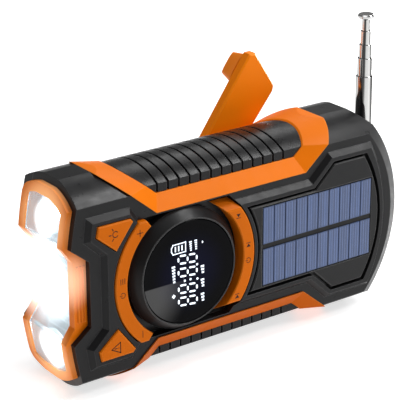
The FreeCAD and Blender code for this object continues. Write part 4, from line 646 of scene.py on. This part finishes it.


# An edge colour here is the colour of a painted highlight along the plastic's edges.
SLOT_FINISHES: dict[str, Finish] = {
    "black_housing": Moulded("black_housing_plastic", BLACK, 0.32),
    "black_grip": Moulded("black_grip_rubber", DARKER_BLACK, 0.28),
    "black_trim": Moulded("black_trim_plastic", BLACK, 0.36, edge=0.5 * MM, edge_highlight_colour=(0.2, 0.2, 0.2)),
    "orange_plastic": orange("orange_plastic", ORANGE),
    # Painted light: the crank wears a brightened copy of the orange.
    "orange_crank": orange("orange_crank_painted_light", CRANK_ORANGE_PAINTED_LIGHT, 0.38),
    "clear_lens": LampCover("clear_lamp_cover", (0.72, 0.8, 0.86), (0.08, 0.2), LAMP_GLOWS),
    "reflector": LitBowl("lit_reflector", (0.9, 0.94, 1.0), 0.4),
    "lamp_chip": Lit("lit_lamp", (1.0, 0.98, 0.94), 30.0),
    "display_cover": SmokedCover("smoked_display_cover", (0.0025, 0.0025, 0.003), (0.05, 0.09),
                                 CORNER_SHEEN, -3.1, BACKLIGHT),
    "display_cell": Moulded("display_cell_plastic", (0.02, 0.02, 0.025), 0.3),
    "solar_cell": Silicon("blue_silicon", (0.031, 0.065, 0.175)),
    "green_board": SolderMask("green_board_mask", (0.01, 0.11, 0.045)),
    "white_board": SolderMask("white_board_mask", (0.5, 0.5, 0.48)),
    "black_switch": Moulded("black_switch_plastic", LIGHTER_BLACK, 0.5),
    "cell_wrap": Moulded("blue_cell_wrap", (0.02, 0.10, 0.32), 0.25, grain_depth=0.004 * MM,
                         edge_highlight_colour=(0.1, 0.25, 0.5)),
    "grey_plastic": Moulded("grey_plastic", (0.13, 0.13, 0.135), 0.5, edge_highlight_colour=(0.25, 0.25, 0.26)),
    "white_gear": Moulded("white_gear_plastic", (0.68, 0.67, 0.6), 0.45, edge_highlight_colour=(0.8, 0.79, 0.72)),
    "speaker_black": Moulded("black_speaker_paint", DARKER_BLACK, 0.55),
    "steel": Turned("turned_steel", (0.55, 0.55, 0.56), 0.28, stretch=ALONG_Y),
    "dark_steel": Turned("dark_steel", (0.16, 0.16, 0.17), 0.32),
    "magnet": Turned("plated_magnet", (0.42, 0.42, 0.44), 0.3, stretch=ALONG_Y),
    "bearing_brass": Turned("turned_brass", (0.72, 0.47, 0.16), 0.25, stretch=ALONG_Y),
    "antenna_chrome": Turned("antenna_chrome", (0.6, 0.6, 0.6), 0.12),
    "black_rubber": Moulded("black_cover_rubber", DARKER_BLACK, 0.6, sheen=0.3),
}

KEY_NODES = ("lamp_button", "alarm_button", "left_arc_key", "right_arc_key")
TUBE_NODES = tuple(f"antenna_tube_{number}" for number in range(1, 6))
NODE_FINISHES: dict[str, Finish] = {
    # Painted glow on the bezel around the lamps.
    "lamp_bezel": orange("lit_bezel_plastic", ORANGE, glows=RIM_GLOWS),
    # Painted shade: the lower trim wears a darkened copy of the orange.
    "bottom_trim": orange("orange_lower_trim_painted_shade", SHADED_LOWER_ORANGE, 0.45, 0.05),
    # Painted shade: the keys wear a darkened copy of the orange.
    **dict.fromkeys(KEY_NODES, orange("orange_key_painted_shade", SHADED_KEY_ORANGE, 0.45, 0.06)),
    # Painted reflections on the antenna's tubes.
    **dict.fromkeys(TUBE_NODES, ReflectionStreakedTube("antenna_tube_painted_reflections", (0.52, 0.52, 0.51), 0.12, ALONG_Z)),
}


def dress(frame: dict) -> None:
    """Puts finishes on the frame's nodes: a node's own, or else its slot's.
    """
    for part in frame["record"]["subparts"]:
        finish = NODE_FINISHES.get(part["node"], SLOT_FINISHES[part["material_slot"]])
        for slot in frame["nodes"][part["node"]].material_slots:
            slot.material = finish.material()
        LOG.info("%s wears %s", part["node"], finish.name)


# ---- pieces
def linked(name: str, data: bpy.types.ID) -> Piece:
    """Makes an object of some data and links it to the scene, at the origin.

    Args:
        name: Its name.
        data: Its mesh, light or camera.

    Returns:
        The new object.
    """
    made = bpy.data.objects.new(name, data)
    bpy.context.collection.objects.link(made)
    LOG.info("made %s", name)
    return made


def finished(name: str, mesh: bmesh.types.BMesh, material: Material) -> Piece:
    """Turns a bmesh into a piece.

    Args:
        name: The piece's name.
        mesh: Its geometry, in metres; freed here.
        material: Its finish.

    Returns:
        The piece, linked to the scene.
    """
    data = bpy.data.meshes.new(name)
    mesh.to_mesh(data)
    mesh.free()
    data.materials.append(material)
    return linked(name, data)


def bridge(mesh: bmesh.types.BMesh, first: Loop, second: Loop) -> None:
    """Joins two loops of vertices with a band of faces.

    Args:
        mesh: What they are in.
        first: One loop.
        second: The other, point for point.
    """
    for i, vertex in enumerate(first):
        after = (i + 1) % len(first)
        mesh.faces.new([vertex, first[after], second[after], second[i]])


# ---- flat marks
class Marks:
    """Flat shapes on the front, drawn in millimetres.

    They are read with the lamps down: right is along +Z and up is along -X.
    """

    RIGHT = Vector((0.0, 0.0, MM))
    UP = Vector((-MM, 0.0, 0.0))
    OUTWARD = Vector((0.0, -1.0, 0.0))
    SUNK_SHARE = 0.25
    ARC_STEP = 30.0

    def __init__(self) -> None:
        """Starts an empty drawing."""
        self.outlines: list[list[Point]] = []

    def shape(self, points: Sequence[Point]) -> None:
        """Adds a filled outline."""
        self.outlines.append(list(points))

    def bar(self, left: float, bottom: float, right: float, top: float) -> None:
        """Adds a rectangle."""
        self.shape([(left, bottom), (right, bottom), (right, top), (left, top)])

    def diamond(self, centre: Point, across: float, tall: float) -> None:
        """Adds a diamond by its half width and half height."""
        x, y = centre
        self.shape([(x - across, y), (x, y - tall), (x + across, y), (x, y + tall)])

    def stroke(self, start: Point, end: Point, width: float) -> None:
        """Adds a straight line with square ends, which pass its points by half its width.

        Args:
            start: Its first point.
            end: Its last point.
            width: Its width.
        """
        along = Vector(end) - Vector(start)
        side = Vector((-along.y, along.x)).normalized() * width / 2
        along = along.normalized() * width / 2
        first, last = Vector(start) - along, Vector(end) + along
        self.shape([tuple(corner) for corner in (first - side, last - side, last + side, first + side)])

    def path(self, points: Sequence[Point], width: float) -> None:
        """Adds a line through points, one stroke a piece."""
        for start, end in zip(points, points[1:]):
            self.stroke(start, end, width)

    def ring(self, centre: Point, radius: float, width: float, start: float, sweep: float) -> None:
        """Adds an arc's line.

        Args:
            centre: Its centre.
            radius: The radius of its middle line.
            width: The line's width.
            start: Where it starts, in degrees.
            sweep: How far it goes, in degrees.
        """
        steps = round(sweep / self.ARC_STEP)
        inner, outer = radius - width / 2, radius + width / 2
        for i in range(steps):
            first, last = (math.radians(start + sweep * k / steps) for k in (i, i + 1))
            corners = [(inner, first), (outer, first), (outer, last), (inner, last)]
            self.shape([(centre[0] + r * math.cos(a), centre[1] + r * math.sin(a)) for r, a in corners])

    def disc(self, centre: Point, radius: float, sides: int = 16) -> None:
        """Adds a filled circle."""
        turns = [2 * math.pi * i / sides for i in range(sides)]
        self.shape([(centre[0] + radius * math.cos(a), centre[1] + radius * math.sin(a)) for a in turns])

    def placed(self, other: "Marks", offset: Point) -> None:
        """Copies another drawing in, moved."""
        for outline in other.outlines:
            self.shape([(offset[0] + x, offset[1] + y) for x, y in outline])

    def raised(self, name: str, node: str, height: float, material: Material) -> Piece:
        """Makes a drawing about the dial's centre a mesh of thin solids, their feet sunk in a piece.

        Args:
            name: The piece's name.
            node: The CAD node that it is on.
            height: How high the solids are, in metres.
            material: Their finish.

        Returns:
            The piece.
        """
        centre = middle("display_glass")
        face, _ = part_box(node)
        origin = Vector((centre.x, face[1] + height * self.SUNK_SHARE, centre.z))
        mesh = bmesh.new()
        for outline in self.outlines:
            foot = [origin + self.RIGHT * x + self.UP * y for x, y in outline]
            low = [mesh.verts.new(point) for point in foot]
            high = [mesh.verts.new(point + self.OUTWARD * height) for point in foot]
            mesh.faces.new(high)
            mesh.faces.new(list(reversed(low)))
            bridge(mesh, low, high)
        bmesh.ops.recalc_face_normals(mesh, faces=mesh.faces)
        return finished(name, mesh, material)


# ---- display
@dataclass(frozen=True)
class LevelSign:
    """A row of short bars that rise like a level meter's, in millimetres."""

    left: float
    bottom: float
    width: float
    height: float
    bars: int
    shortest: float = 0.55
    bar_share: float = 0.62

    def draw(self, marks: Marks) -> None:
        """Adds the bars.

        Args:
            marks: The drawing.
        """
        pitch = self.width / self.bars
        for i in range(self.bars):
            left = self.left + i * pitch
            rise = self.shortest + (1.0 - self.shortest) * (i + 1) / self.bars
            marks.bar(left, self.bottom, left + pitch * self.bar_share, self.bottom + self.height * rise)


@dataclass(frozen=True)
class BatterySign:
    """A battery, its terminal at the top and its bars lit, in millimetres.

    The first bar's height and the battery's own are told in pitches of its bars.
    """

    left: float = 8.9
    bottom: float = 1.7
    right: float = 12.8
    top: float = 7.6
    line: float = 0.42
    terminal: float = 0.7
    bars: int = 3
    bar_height: float = 0.546
    first_bar: float = 0.9
    bars_tall: float = 3.8

    def draw(self, marks: Marks) -> None:
        """Adds the outline and the bars.

        Args:
            marks: The drawing.
        """
        centre = (self.left + self.right) / 2
        peak = self.top + self.terminal
        marks.path([(self.left, self.bottom), (self.right, self.bottom), (self.right, self.top),
                    (centre + self.terminal, peak), (centre - self.terminal, peak), (self.left, self.top),
                    (self.left, self.bottom)], self.line)
        left, right = self.left + 2 * self.line, self.right - 2 * self.line
        pitch = (self.top - self.bottom) / self.bars_tall
        for i in range(self.bars):
            level = self.bottom + (i + self.first_bar) * pitch
            marks.bar(left, level, right, level + self.bar_height)


@dataclass(frozen=True)
class Figure:
    """A seven-segment figure with every segment lit, in millimetres."""

    across: float
    level: float = 0.8
    height: float = 8.65
    width: float = 3.2
    segment: float = 0.78
    gap: float = 0.60
    lean: float = 0.105

    def outline(self, start: Point, end: Point) -> list[Point]:
        """A segment with pointed ends, leant with its figure.

        Args:
            start: Its first point on the figure's skeleton.
            end: Its last point there.

        Returns:
            The segment's outline.
        """
        first, last = Vector(start), Vector(end)
        along = (last - first).normalized()
        side = Vector((-along.y, along.x)) * self.segment / 2
        tip = along * self.gap
        shoulder = along * (self.gap + self.segment / 2)
        points = [first + tip, first + shoulder - side, last - shoulder - side,
                  last - tip, last - shoulder + side, first + shoulder + side]
        return [(p.x + self.lean * (p.y - self.level), p.y) for p in points]

    def draw(self, marks: Marks) -> None:
        """Adds the segments.

        Args:
            marks: The drawing.
        """
        sides = (self.across - self.width / 2, self.across + self.width / 2)
        levels = [self.level + k * self.height / 2 for k in (-1, 0, 1)]
        for level in levels:
            marks.shape(self.outline((sides[0], level), (sides[1], level)))
        for low, high in zip(levels, levels[1:]):
            for side in sides:
                marks.shape(self.outline((side, low), (side, high)))


@dataclass
class DisplayFace:
    """The lit figures and signs under the display's cover, in millimetres from the dial's centre."""

    signs: tuple[Figure | BatterySign | LevelSign, ...] = (
        *[Figure(across) for across in (-12.06, -6.8, 0.2, 5.6)],
        BatterySign(),
        LevelSign(-3.0, 6.7, 7.5, 1.6, 6),
        *[LevelSign(left, -7.0, 3.9, 1.6, 3) for left in (-14.1, -8.0, -2.3)],
        *[LevelSign(8.5, bottom, 4.4, 1.2, 5) for bottom in (-1.2, -3.7)],
    )
    dots: tuple[Point, ...] = ((-3.3, 2.2), (-3.35, -0.5), (-3.95, -3.8), (2.1, -3.7))
    dot_radius: float = 0.5
    diamonds: tuple[tuple[Point, float, float], ...] = (((10.9, -6.3), 0.6, 0.4), ((-8.65, 7.5), 0.95, 0.9))
    height: float = 0.04 * MM
    finish: Finish = Lit("lit_segments", (0.83, 0.9, 1.0), 0.95)

    def build(self) -> None:
        """Makes the lit marks and rides them on the housing."""
        marks = Marks()
        for sign in self.signs:
            sign.draw(marks)
        for dot in self.dots:
            marks.disc(dot, self.dot_radius)
        for centre, across, tall in self.diamonds:
            marks.diamond(centre, across, tall)
        piece = marks.raised("display_figures", "display_glass", self.height, self.finish.material())
        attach(piece, "housing")


# ---- key marks
class Sign(Enum):
    """The signs printed on the keys."""

    PLUS = "plus"
    MINUS = "minus"
    POWER = "power"
    MENU = "menu"
    PREVIOUS = "previous"
    NEXT = "next"
    PLAY = "play"
    LAMP = "lamp"
    ALARM = "alarm"


def draw_sign(sign: Sign, size: float, line: float) -> Marks:
    """Draws a sign about its centre, each place in it a share of its half height.

    Args:
        sign: Which sign.
        size: Its height, in millimetres.
        line: Its line's width, in millimetres.

    Returns:
        The drawing.
    """
    marks = Marks()
    half = size / 2
    if sign in (Sign.PLUS, Sign.MINUS):
        marks.stroke((-half, 0.0), (half, 0.0), line)
    if sign is Sign.PLUS:
        marks.stroke((0.0, -half), (0.0, half), line)
    if sign is Sign.POWER:
        marks.ring((0.0, 0.0), half * 0.8, line, 120.0, 300.0)
        marks.stroke((0.0, half * 0.3), (0.0, half), line)
    if sign is Sign.MENU:
        for level in (-half * 0.7, 0.0, half * 0.7):
            marks.stroke((-half * 0.8, level), (half * 0.8, level), line)
    if sign in (Sign.PREVIOUS, Sign.NEXT, Sign.PLAY):
        way = -half if sign is Sign.PREVIOUS else half
        marks.shape([(-way * 0.6, -way * 0.8), (way * 0.5, 0.0), (-way * 0.6, way * 0.8)])
        marks.stroke((way * 0.75, -half * 0.7), (way * 0.75, half * 0.7), line)
    if sign is Sign.LAMP:
        marks.ring((0.0, 0.0), half * 0.5, line, -60.0, 300.0)
        for angle in (90.0, 30.0, 150.0):
            ray = Vector((math.cos(math.radians(angle)), math.sin(math.radians(angle)))) * half
            marks.stroke(tuple(ray * 0.8), tuple(ray * 1.15), line)
    if sign is Sign.ALARM:
        corners = [(-half, -half * 0.8), (half, -half * 0.8), (0.0, half)]
        marks.path([*corners, corners[0]], line)
        marks.stroke((0.0, -half * 0.1), (0.0, half * 0.35), line)
        marks.disc((0.0, -half * 0.45), line * 0.6, 10)
    return marks


@dataclass
class KeyMarks:
    """The signs printed on one key, each at an angle round the dial, in degrees and millimetres."""

    node: str
    signs: tuple[tuple[Sign, float], ...]
    reach: float = 30.0
    size: float = 2.6
    line: float = 0.28
    height: float = 0.03 * MM
    ink: Finish = Moulded("dark_key_print", (0.02, 0.006, 0.002), 0.5, edge_highlight_amount=0.0)

    def build(self) -> None:
        """Prints the signs and rides them on the key."""
        marks = Marks()
        for sign, angle in self.signs:
            turn = math.radians(angle)
            place = (self.reach * math.sin(turn), -self.reach * math.cos(turn))
            marks.placed(draw_sign(sign, self.size, self.line), place)
        piece = marks.raised(self.node + "_print", self.node, self.height, self.ink.material())
        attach(piece, self.node)


KEY_MARKS = (
    KeyMarks("left_arc_key",
             ((Sign.PLUS, 136.0), (Sign.MENU, 174.0), (Sign.POWER, 185.0), (Sign.MINUS, 225.0))),
    KeyMarks("right_arc_key",
             ((Sign.PREVIOUS, 34.0), (Sign.PLAY, 6.0), (Sign.POWER, -6.5), (Sign.NEXT, -36.0))),
    KeyMarks("lamp_button", ((Sign.LAMP, 144.6),), 40.2, 4.8, 0.36),
    KeyMarks("alarm_button", ((Sign.ALARM, -144.8),), 41.0, 4.4, 0.36),
)


# ---- crank knob
@dataclass
class CrankKnob:
    """The finger knob: a block that leans in from the arm's slanted tip, with its pin's head sunk in.

    Outlines are drawn from the pin, in millimetres: first along the arm and then across it. Their
    corners are cut off again and again, by a small share first, until they are round.
    """

    foot: tuple[Point, ...] = ((-7.4, -8.2), (4.9, -8.2), (7.0, 10.0), (-7.4, 9.6))
    crown: tuple[Point, ...] = ((-5.4, -5.8), (5.4, -5.8), (6.5, 7.0), (-4.6, 7.0))
    cuts: tuple[float, ...] = (0.1, 0.25, 0.25)
    rim: float = 0.9
    rim_steps: int = 4
    recess_radius: float = 3.7
    recess_depth: float = 1.9
    bore_radius: float = 2.2
    crease_angle: float = 35.0

    def rounded(self, corners: Sequence[Point]) -> list[Vector]:
        """Rounds an outline by cutting its corners.

        Args:
            corners: The outline's corners.

        Returns:
            The rounded outline.
        """
        points = [Vector(corner) for corner in corners]
        for share in self.cuts:
            sides = zip(points, points[1:] + points[:1])
            points = [start.lerp(end, part) for start, end in sides for part in (share, 1.0 - share)]
        return points

    def loops(self, height: float) -> list[tuple[float, list[Vector]]]:
        """The loops that the surface runs through, from the foot's bore out, up and back down the bore.

        Args:
            height: How far the knob stands from the arm, in millimetres.

        Returns:
            Each loop's height and its points.
        """
        foot, crown = self.rounded(self.foot), self.rounded(self.crown)
        shoulder = height - self.rim
        seat = height - self.recess_depth
        wall = [(0.0, foot)]
        for i in range(self.rim_steps + 1):
            turn = math.pi / 2 * i / self.rim_steps
            inset = self.rim * (1.0 - math.cos(turn))
            wall.append((shoulder + self.rim * math.sin(turn), [p - p.normalized() * inset for p in crown]))
        holes = [(0.0, self.bore_radius), (height, self.recess_radius), (seat, self.recess_radius),
                 (seat, self.bore_radius)]
        rings = [(level, [p.normalized() * radius for p in foot]) for level, radius in holes]
        return [rings[0], *wall, *rings[1:]]

    def build(self) -> None:
        """Makes the knob about its pin and rides it on the knob's body."""
        low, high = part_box("crank_knob")
        pin = middle("knob_pin")
        arm = pin - middle("crank_shaft")
        along = Vector((arm.x, 0.0, arm.z)).normalized() * MM
        across = Vector((-along.z, 0.0, along.x))
        outward = Vector((0.0, MM, 0.0))
        axis = Vector((pin.x, low[1], pin.z))
        mesh = bmesh.new()
        loops = [[mesh.verts.new(axis + along * p.x + across * p.y + outward * level) for p in points]
                 for level, points in self.loops((high[1] - low[1]) / MM)]
        for inner, outer in zip(loops, loops[1:] + loops[:1]):
            bridge(mesh, inner, outer)
        bmesh.ops.recalc_face_normals(mesh, faces=mesh.faces)
        piece = finished("knob_block", mesh, SLOT_FINISHES["orange_crank"].material())
        piece.data.shade_smooth()
        piece.data.set_sharp_from_angle(angle=math.radians(self.crease_angle))
        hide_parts("crank_knob")
        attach(piece, "knob")


# ---- repeated pieces
class Grower(Tree):
    """A Geometry Nodes tree with named inputs, run once for a piece that repeats."""

    def __init__(self, name: str, inputs: dict[str, str]) -> None:
        """Starts the tree.

        Args:
            name: The tree's name.
            inputs: What each named input takes, such as "Int".
        """
        super().__init__(bpy.data.node_groups.new(name, "GeometryNodeTree"))
        self.tree.interface.new_socket(name="Geometry", in_out="OUTPUT", socket_type="NodeSocketGeometry")
        for label, kind in inputs.items():
            self.tree.interface.new_socket(name=label, in_out="INPUT", socket_type="NodeSocket" + kind)
        self.given = self.node("NodeGroupInput").outputs

    def end(self, instances: Socket) -> None:
        """Makes the instances real, gives them the Material input and ends the tree.

        Args:
            instances: What the tree has placed.
        """
        real = self.node("GeometryNodeRealizeInstances", {"Geometry": instances}).outputs["Geometry"]
        inputs = {"Geometry": real, "Material": self.given["Material"]}
        dressed = self.node("GeometryNodeSetMaterial", inputs)
        self.node("NodeGroupOutput", {"Geometry": dressed.outputs["Geometry"]})

    def grow(self, name: str, values: dict[str, object]) -> Piece:
        """Runs the tree and keeps its result as a plain mesh.

        Args:
            name: The piece's name.
            values: What each named input takes.

        Returns:
            The piece, with no modifier left on it.
        """
        seed = linked(name + "_seed", bpy.data.meshes.new(name + "_seed"))
        modifier = seed.modifiers.new("grow", "NODES")
        modifier.node_group = self.tree
        for item in self.tree.interface.items_tree:
            if item.in_out == "INPUT":
                modifier[item.identifier] = values[item.name]
        bpy.context.view_layer.update()
        data = bpy.data.meshes.new_from_object(seed.evaluated_get(bpy.context.evaluated_depsgraph_get()))
        data.name = name
        bpy.data.objects.remove(seed)
        return linked(name, data)


@dataclass
class SolarLines:
    """The silver collector lines printed on the solar cells."""

    columns: int = 10
    rows: int = 2
    column_gap: float = 0.45 * MM
    row_gap: float = 2.3 * MM
    lines_a_cell: int = 4
    line_width: float = 0.11 * MM
    line_height: float = 0.02 * MM
    end_gap: float = 0.5 * MM
    finish: Finish = Turned("silver_print", (0.2, 0.27, 0.5), 0.4)

    def grower(self) -> Grower:
        """Builds the tree: a grid of cells, each with a row of upright lines.

        Returns:
            The tree, ready to run.
        """
        grower = Grower("collector_lines", {
            "Columns": "Int", "Rows": "Int", "Grid Width": "Float", "Grid Height": "Float", "Lines": "Int",
            "Line Pitch": "Float", "Line Size": "Vector", "Centre": "Vector", "Material": "Material"})
        given = grower.given
        grid = grower.node("GeometryNodeMeshGrid", {
            "Vertices X": given["Columns"], "Vertices Y": given["Rows"],
            "Size X": given["Grid Width"], "Size Y": given["Grid Height"]})
        upright = grower.node("GeometryNodeTransform", {
            "Geometry": grid.outputs["Mesh"], "Rotation": QUARTER_TURN, "Translation": given["Centre"]})
        step = grower.node("ShaderNodeCombineXYZ", {"X": given["Line Pitch"]}).outputs["Vector"]
        row = grower.node("GeometryNodeMeshLine", {"Count": given["Lines"], "Offset": step})
        bar = grower.node("GeometryNodeMeshCube", {"Size": given["Line Size"]})
        one_cell = grower.node("GeometryNodeInstanceOnPoints", {
            "Points": row.outputs["Mesh"], "Instance": bar.outputs["Mesh"]})
        every_cell = grower.node("GeometryNodeInstanceOnPoints", {
            "Points": upright.outputs["Geometry"], "Instance": one_cell.outputs["Instances"]})
        grower.end(every_cell.outputs["Instances"])
        return grower

    def build(self) -> None:
        """Grows the lines on the cells and rides them on the housing."""
        low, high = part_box("solar_cells")
        centre = middle("solar_cells")
        cell_pitch = (high[0] - low[0] + self.column_gap) / self.columns
        row_pitch = (high[2] - low[2] + self.row_gap) / self.rows
        line_pitch = (cell_pitch - self.column_gap) / self.lines_a_cell
        line_length = row_pitch - self.row_gap - 2 * self.end_gap
        first_line = centre.x - (self.lines_a_cell - 1) * line_pitch / 2
        piece = self.grower().grow("solar_lines", {
            "Columns": self.columns, "Rows": self.rows, "Lines": self.lines_a_cell,
            "Grid Width": cell_pitch * (self.columns - 1), "Grid Height": row_pitch * (self.rows - 1),
            "Line Pitch": line_pitch, "Line Size": (self.line_width, self.line_height, line_length),
            "Centre": (first_line, low[1], centre.z), "Material": self.finish.material()})
        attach(piece, "housing")


# ---- studio
@dataclass(frozen=True)
class SoftBox:
    """A rectangular studio lamp."""

    name: str
    place: Place
    width: float
    height: float
    power: float

    def hang(self, target: Vector) -> None:
        """Adds the lamp, turned to a target.

        Args:
            target: What it points at, in metres.
        """
        data = bpy.data.lights.new(self.name, "AREA")
        data.shape = "RECTANGLE"
        data.size = self.width
        data.size_y = self.height
        data.energy = self.power
        lamp = linked(self.name, data)
        lamp.location = self.place
        lamp.rotation_euler = (target - lamp.location).to_track_quat("-Z", "Y").to_euler()


@dataclass
class Studio:
    """A pale floor, soft lamps and the camera, in metres and degrees, with the lens in millimetres."""

    camera_place: Place = (-0.37787, -0.51962, 0.30717)
    azimuth: float = 35.855
    elevation: float = 21.412
    roll: float = -0.342
    lens: float = 152.6
    nearest: float = 0.01
    floor_reach: float = 6.0
    floor_finish: Finish = Lit("light_table", (0.72, 0.72, 0.72), 1.0, 0.4)
    sky_strength: float = 0.22
    target: Place = (0.0, 0.0, 0.045)
    soft_boxes: tuple[SoftBox, ...] = (
        SoftBox("key_box", (0.52, -0.42, 0.72), 0.34, 0.26, 3.4),
        SoftBox("crest_box", (0.46, -0.07, 0.88), 0.24, 0.18, 3.8),
        SoftBox("over_box", (0.0, 0.0, 0.95), 0.6, 0.5, 1.4),
        SoftBox("front_box", (0.49, -0.76, 0.30), 0.3, 0.25, 0.8),
        SoftBox("rear_box", (0.5, 0.5, 0.62), 0.3, 0.3, 0.7),
        SoftBox("side_strip", (0.72, 0.30, 0.12), 0.16, 0.22, 4.2),
    )

    def floor(self) -> None:
        """Lays the floor."""
        mesh = bmesh.new()
        bmesh.ops.create_grid(mesh, x_segments=1, y_segments=1, size=self.floor_reach)
        finished("floor", mesh, self.floor_finish.material())

    def sky(self) -> None:
        """Sets an even white surround."""
        world = bpy.data.worlds.new("surround")
        world.use_nodes = True
        background = world.node_tree.nodes["Background"]
        background.inputs["Color"].default_value = (1.0, 1.0, 1.0, 1.0)
        background.inputs["Strength"].default_value = self.sky_strength
        bpy.context.scene.world = world

    def camera(self) -> None:
        """Adds the camera from its bearing, its elevation and its roll."""
        turn, rise = math.radians(self.azimuth), math.radians(self.elevation)
        ahead = Vector((math.sin(turn), math.cos(turn), 0.0))
        level = Vector((math.cos(turn), -math.sin(turn), 0.0))
        forward = ahead * math.cos(rise) - Vector((0.0, 0.0, math.sin(rise)))
        right = Matrix.Rotation(math.radians(self.roll), 3, -forward) @ level
        facing = Matrix((right, right.cross(forward), -forward)).transposed().to_4x4()
        data = bpy.data.cameras.new("camera")
        data.lens = self.lens
        data.clip_start = self.nearest
        camera = linked("camera", data)
        camera.matrix_world = Matrix.Translation(self.camera_place) @ facing
        bpy.context.scene.camera = camera

    def build(self) -> None:
        """Sets the whole studio up."""
        self.floor()
        self.sky()
        for box in self.soft_boxes:
            box.hang(Vector(self.target))
        self.camera()
        bpy.context.scene.view_settings.view_transform = "Standard"


# ---- the whole
def main() -> None:
    """Dresses the frame, adds the pieces and sets the studio."""
    logging.basicConfig(level=logging.INFO, format="%(name)s: %(message)s")
    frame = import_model()
    dress(frame)
    DisplayFace().build()
    for key in KEY_MARKS:
        key.build()
    CrankKnob().build()
    SolarLines().build()
    Studio().build()


if __name__ == "__main__":
    main()
